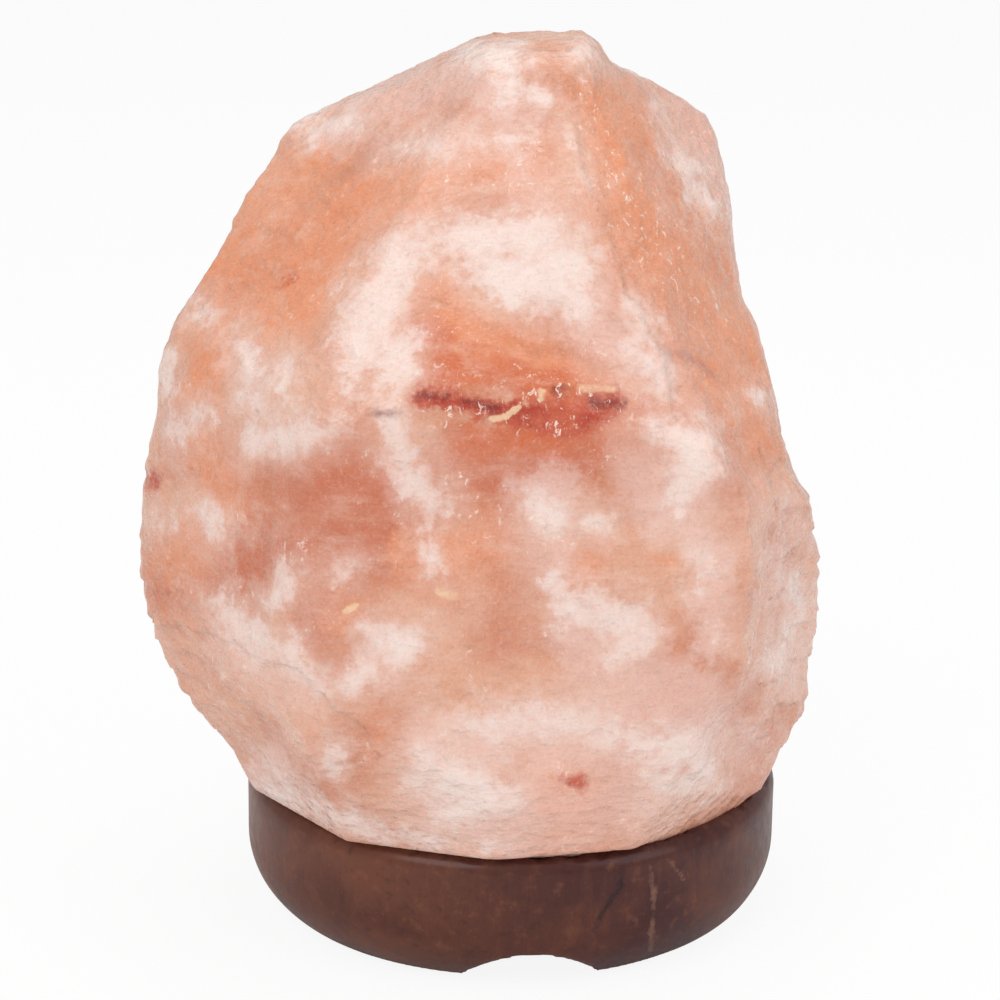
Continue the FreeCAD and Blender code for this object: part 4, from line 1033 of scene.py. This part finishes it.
# ---------------------------------------------------------------- bulb glass and stem
# A blown clear envelope, and the glass stem inside that carries the wires. The glass is clean but for
# a few faint smears that dull its gloss.
glass = Shader("clear_glass")
smears = glass.noise(120, 3, 0.6, distortion=0.8)
glass.set(Base_Color=glass.mix(glass.band(smears, 0.4, 0.7), srgb(252, 253, 252), srgb(243, 247, 245)),
          Roughness=glass.band(smears, 0.55, 0.75, 0.0, 0.06), Transmission_Weight=1.0, IOR=1.5)
dress(glass, "bulb_glass", "bulb_stem")

# ---------------------------------------------------------------- leads and filament
# Drawn wires that stand on the stem, and the tungsten filament that arches between them. The filament
# is a fine wire wound in a coil of many turns, and drawn in an arch by its own springiness.
COIL_TURNS = 46
COIL_RADIUS = 0.30 * MM
COIL_WIRE = 0.07 * MM
COIL_POINTS = 12
ARCH_RADIUS = 6.0 * MM
tungsten = Shader("tungsten")
drawn = tungsten.noise(1.0, 3, 0.6, tungsten.stretch((4000, 4000, 300)))
tungsten.set(Base_Color=tungsten.mix(tungsten.band(drawn, 0.35, 0.65), srgb(78, 76, 76), srgb(124, 120, 116)),
             Metallic=1.0, Roughness=tungsten.band(drawn, 0.3, 0.7, 0.26, 0.44))
dress(tungsten, "bulb_leads")
coil_tree, given, made = node_tree("coiled_wire", {
    "Arch Radius": "NodeSocketFloat", "Coil Radius": "NodeSocketFloat", "Wire Radius": "NodeSocketFloat",
    "Turns": "NodeSocketFloat", "Level": "NodeSocketFloat", "Finish": "NodeSocketMaterial"})
arch = add(coil_tree, "GeometryNodeCurveArc",
           {"Resolution": COIL_TURNS * COIL_POINTS, "Radius": given["Arch Radius"],
            "Start Angle": 0.0, "Sweep Angle": math.pi}, mode="RADIUS")
along = add(coil_tree, "GeometryNodeSplineParameter", {})
turns = add(coil_tree, "ShaderNodeMath", {0: given["Turns"], 1: math.tau}, operation="MULTIPLY")
phase = add(coil_tree, "ShaderNodeMath", {0: along.outputs["Factor"], 1: turns}, operation="MULTIPLY")
out_by = add(coil_tree, "ShaderNodeMath", {0: phase}, operation="COSINE")
side_by = add(coil_tree, "ShaderNodeMath", {0: phase}, operation="SINE")
place = add(coil_tree, "GeometryNodeInputPosition", {})
outwards = add(coil_tree, "ShaderNodeVectorMath", {0: place}, operation="NORMALIZE")
outwards = add(coil_tree, "ShaderNodeVectorMath", {0: outwards, "Scale": out_by}, operation="SCALE")
sideways = add(coil_tree, "ShaderNodeCombineXYZ", {"Z": side_by})
wound = add(coil_tree, "ShaderNodeVectorMath", {0: outwards, 1: sideways}, operation="ADD")
wound = add(coil_tree, "ShaderNodeVectorMath", {0: wound, "Scale": given["Coil Radius"]}, operation="SCALE")
coil = add(coil_tree, "GeometryNodeSetPosition", {"Geometry": arch, "Offset": wound})
round_wire = add(coil_tree, "GeometryNodeCurvePrimitiveCircle",
                 {"Resolution": 6, "Radius": given["Wire Radius"]})
wire = add(coil_tree, "GeometryNodeCurveToMesh",
           {"Curve": coil, "Profile Curve": round_wire, "Fill Caps": True})
stand_up(coil_tree, given, made, wire, (math.pi / 2, 0.0, 0.0))
filament_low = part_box("bulb_filament")[0].z
filament = grown("coiled_filament", coil_tree, {
    "Arch Radius": ARCH_RADIUS, "Coil Radius": COIL_RADIUS, "Wire Radius": COIL_WIRE,
    "Turns": float(COIL_TURNS), "Level": filament_low, "Finish": tungsten.material})
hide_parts("bulb_filament")
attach(filament, "bulb")

# ---------------------------------------------------------------- surroundings
# A pale floor that runs on for ever, a hair below the felt, and broad soft light from the front, both
# sides and above. Floor and sky look paler to the camera than the light that they give.
FLOOR_HALF = 6.0
FLOOR_DROP = 0.05 * MM
FLOOR_GLOW = 0.9
SKY_LIGHT = 0.56
SKY_SHOWN = 1.0
WHITE = (1.0, 1.0, 1.0, 1.0)
# each lamp's place, power and width, in metres and watts
LIGHTS = {
    "key": ((-0.75, -0.95, 1.15), 8.2, 0.9),
    "fill": ((0.95, -0.75, 0.85), 4.4, 0.9),
    "top": ((0.1, 0.3, 1.3), 3.6, 0.8),
}

corners = [(x * FLOOR_HALF, y * FLOOR_HALF, -FLOOR_DROP) for x, y in ((-1, -1), (1, -1), (1, 1), (-1, 1))]
floor_mesh = bpy.data.meshes.new("floor")
floor_mesh.from_pydata(corners, [], [(0, 1, 2, 3)])
floor = bpy.data.objects.new("floor", floor_mesh)
scene.collection.objects.link(floor)


def looked_at(tree):
    """1 where a ray comes from the camera, straight or through glass, and 0 for light on its way."""
    path = add(tree, "ShaderNodeLightPath", {}).outputs
    return add(tree, "ShaderNodeMath", {0: path["Is Camera Ray"], 1: path["Is Transmission Ray"]},
               operation="MAXIMUM")


pale = Shader("pale_floor")
pale.set(Base_Color=(0.95, 0.95, 0.95, 1.0), Roughness=0.9)
glow = add(pale.tree, "ShaderNodeEmission", {"Color": WHITE})
share = add(pale.tree, "ShaderNodeMath", {0: looked_at(pale.tree), 1: FLOOR_GLOW}, operation="MULTIPLY")
blend = add(pale.tree, "ShaderNodeMixShader", {0: share, 1: pale.surface, 2: glow})
pale.tree.links.new(blend.outputs[0], pale.tree.nodes["Material Output"].inputs["Surface"])
floor_mesh.materials.append(pale.material)

world = bpy.data.worlds.new("world")
scene.world = world
world.use_nodes = True
sky = world.node_tree.nodes["Background"]
sky.inputs["Color"].default_value = WHITE
strength = add(world.node_tree, "ShaderNodeMix", {0: looked_at(world.node_tree), 2: SKY_LIGHT, 3: SKY_SHOWN},
               data_type="FLOAT")
world.node_tree.links.new(strength.outputs[0], sky.inputs["Strength"])

for light_name, (stand, power, size) in LIGHTS.items():
    lamp_data = bpy.data.lights.new(light_name, "AREA")
    lamp_data.energy = power
    lamp_data.size = size
    lamp = bpy.data.objects.new(light_name, lamp_data)
    scene.collection.objects.link(lamp)
    aim = Vector((0, 0, 0.1)) - Vector(stand)
    lamp.rotation_euler = aim.to_track_quat("-Z", "Y").to_euler()
    lamp.location = stand

scene.view_settings.view_transform = "Standard"
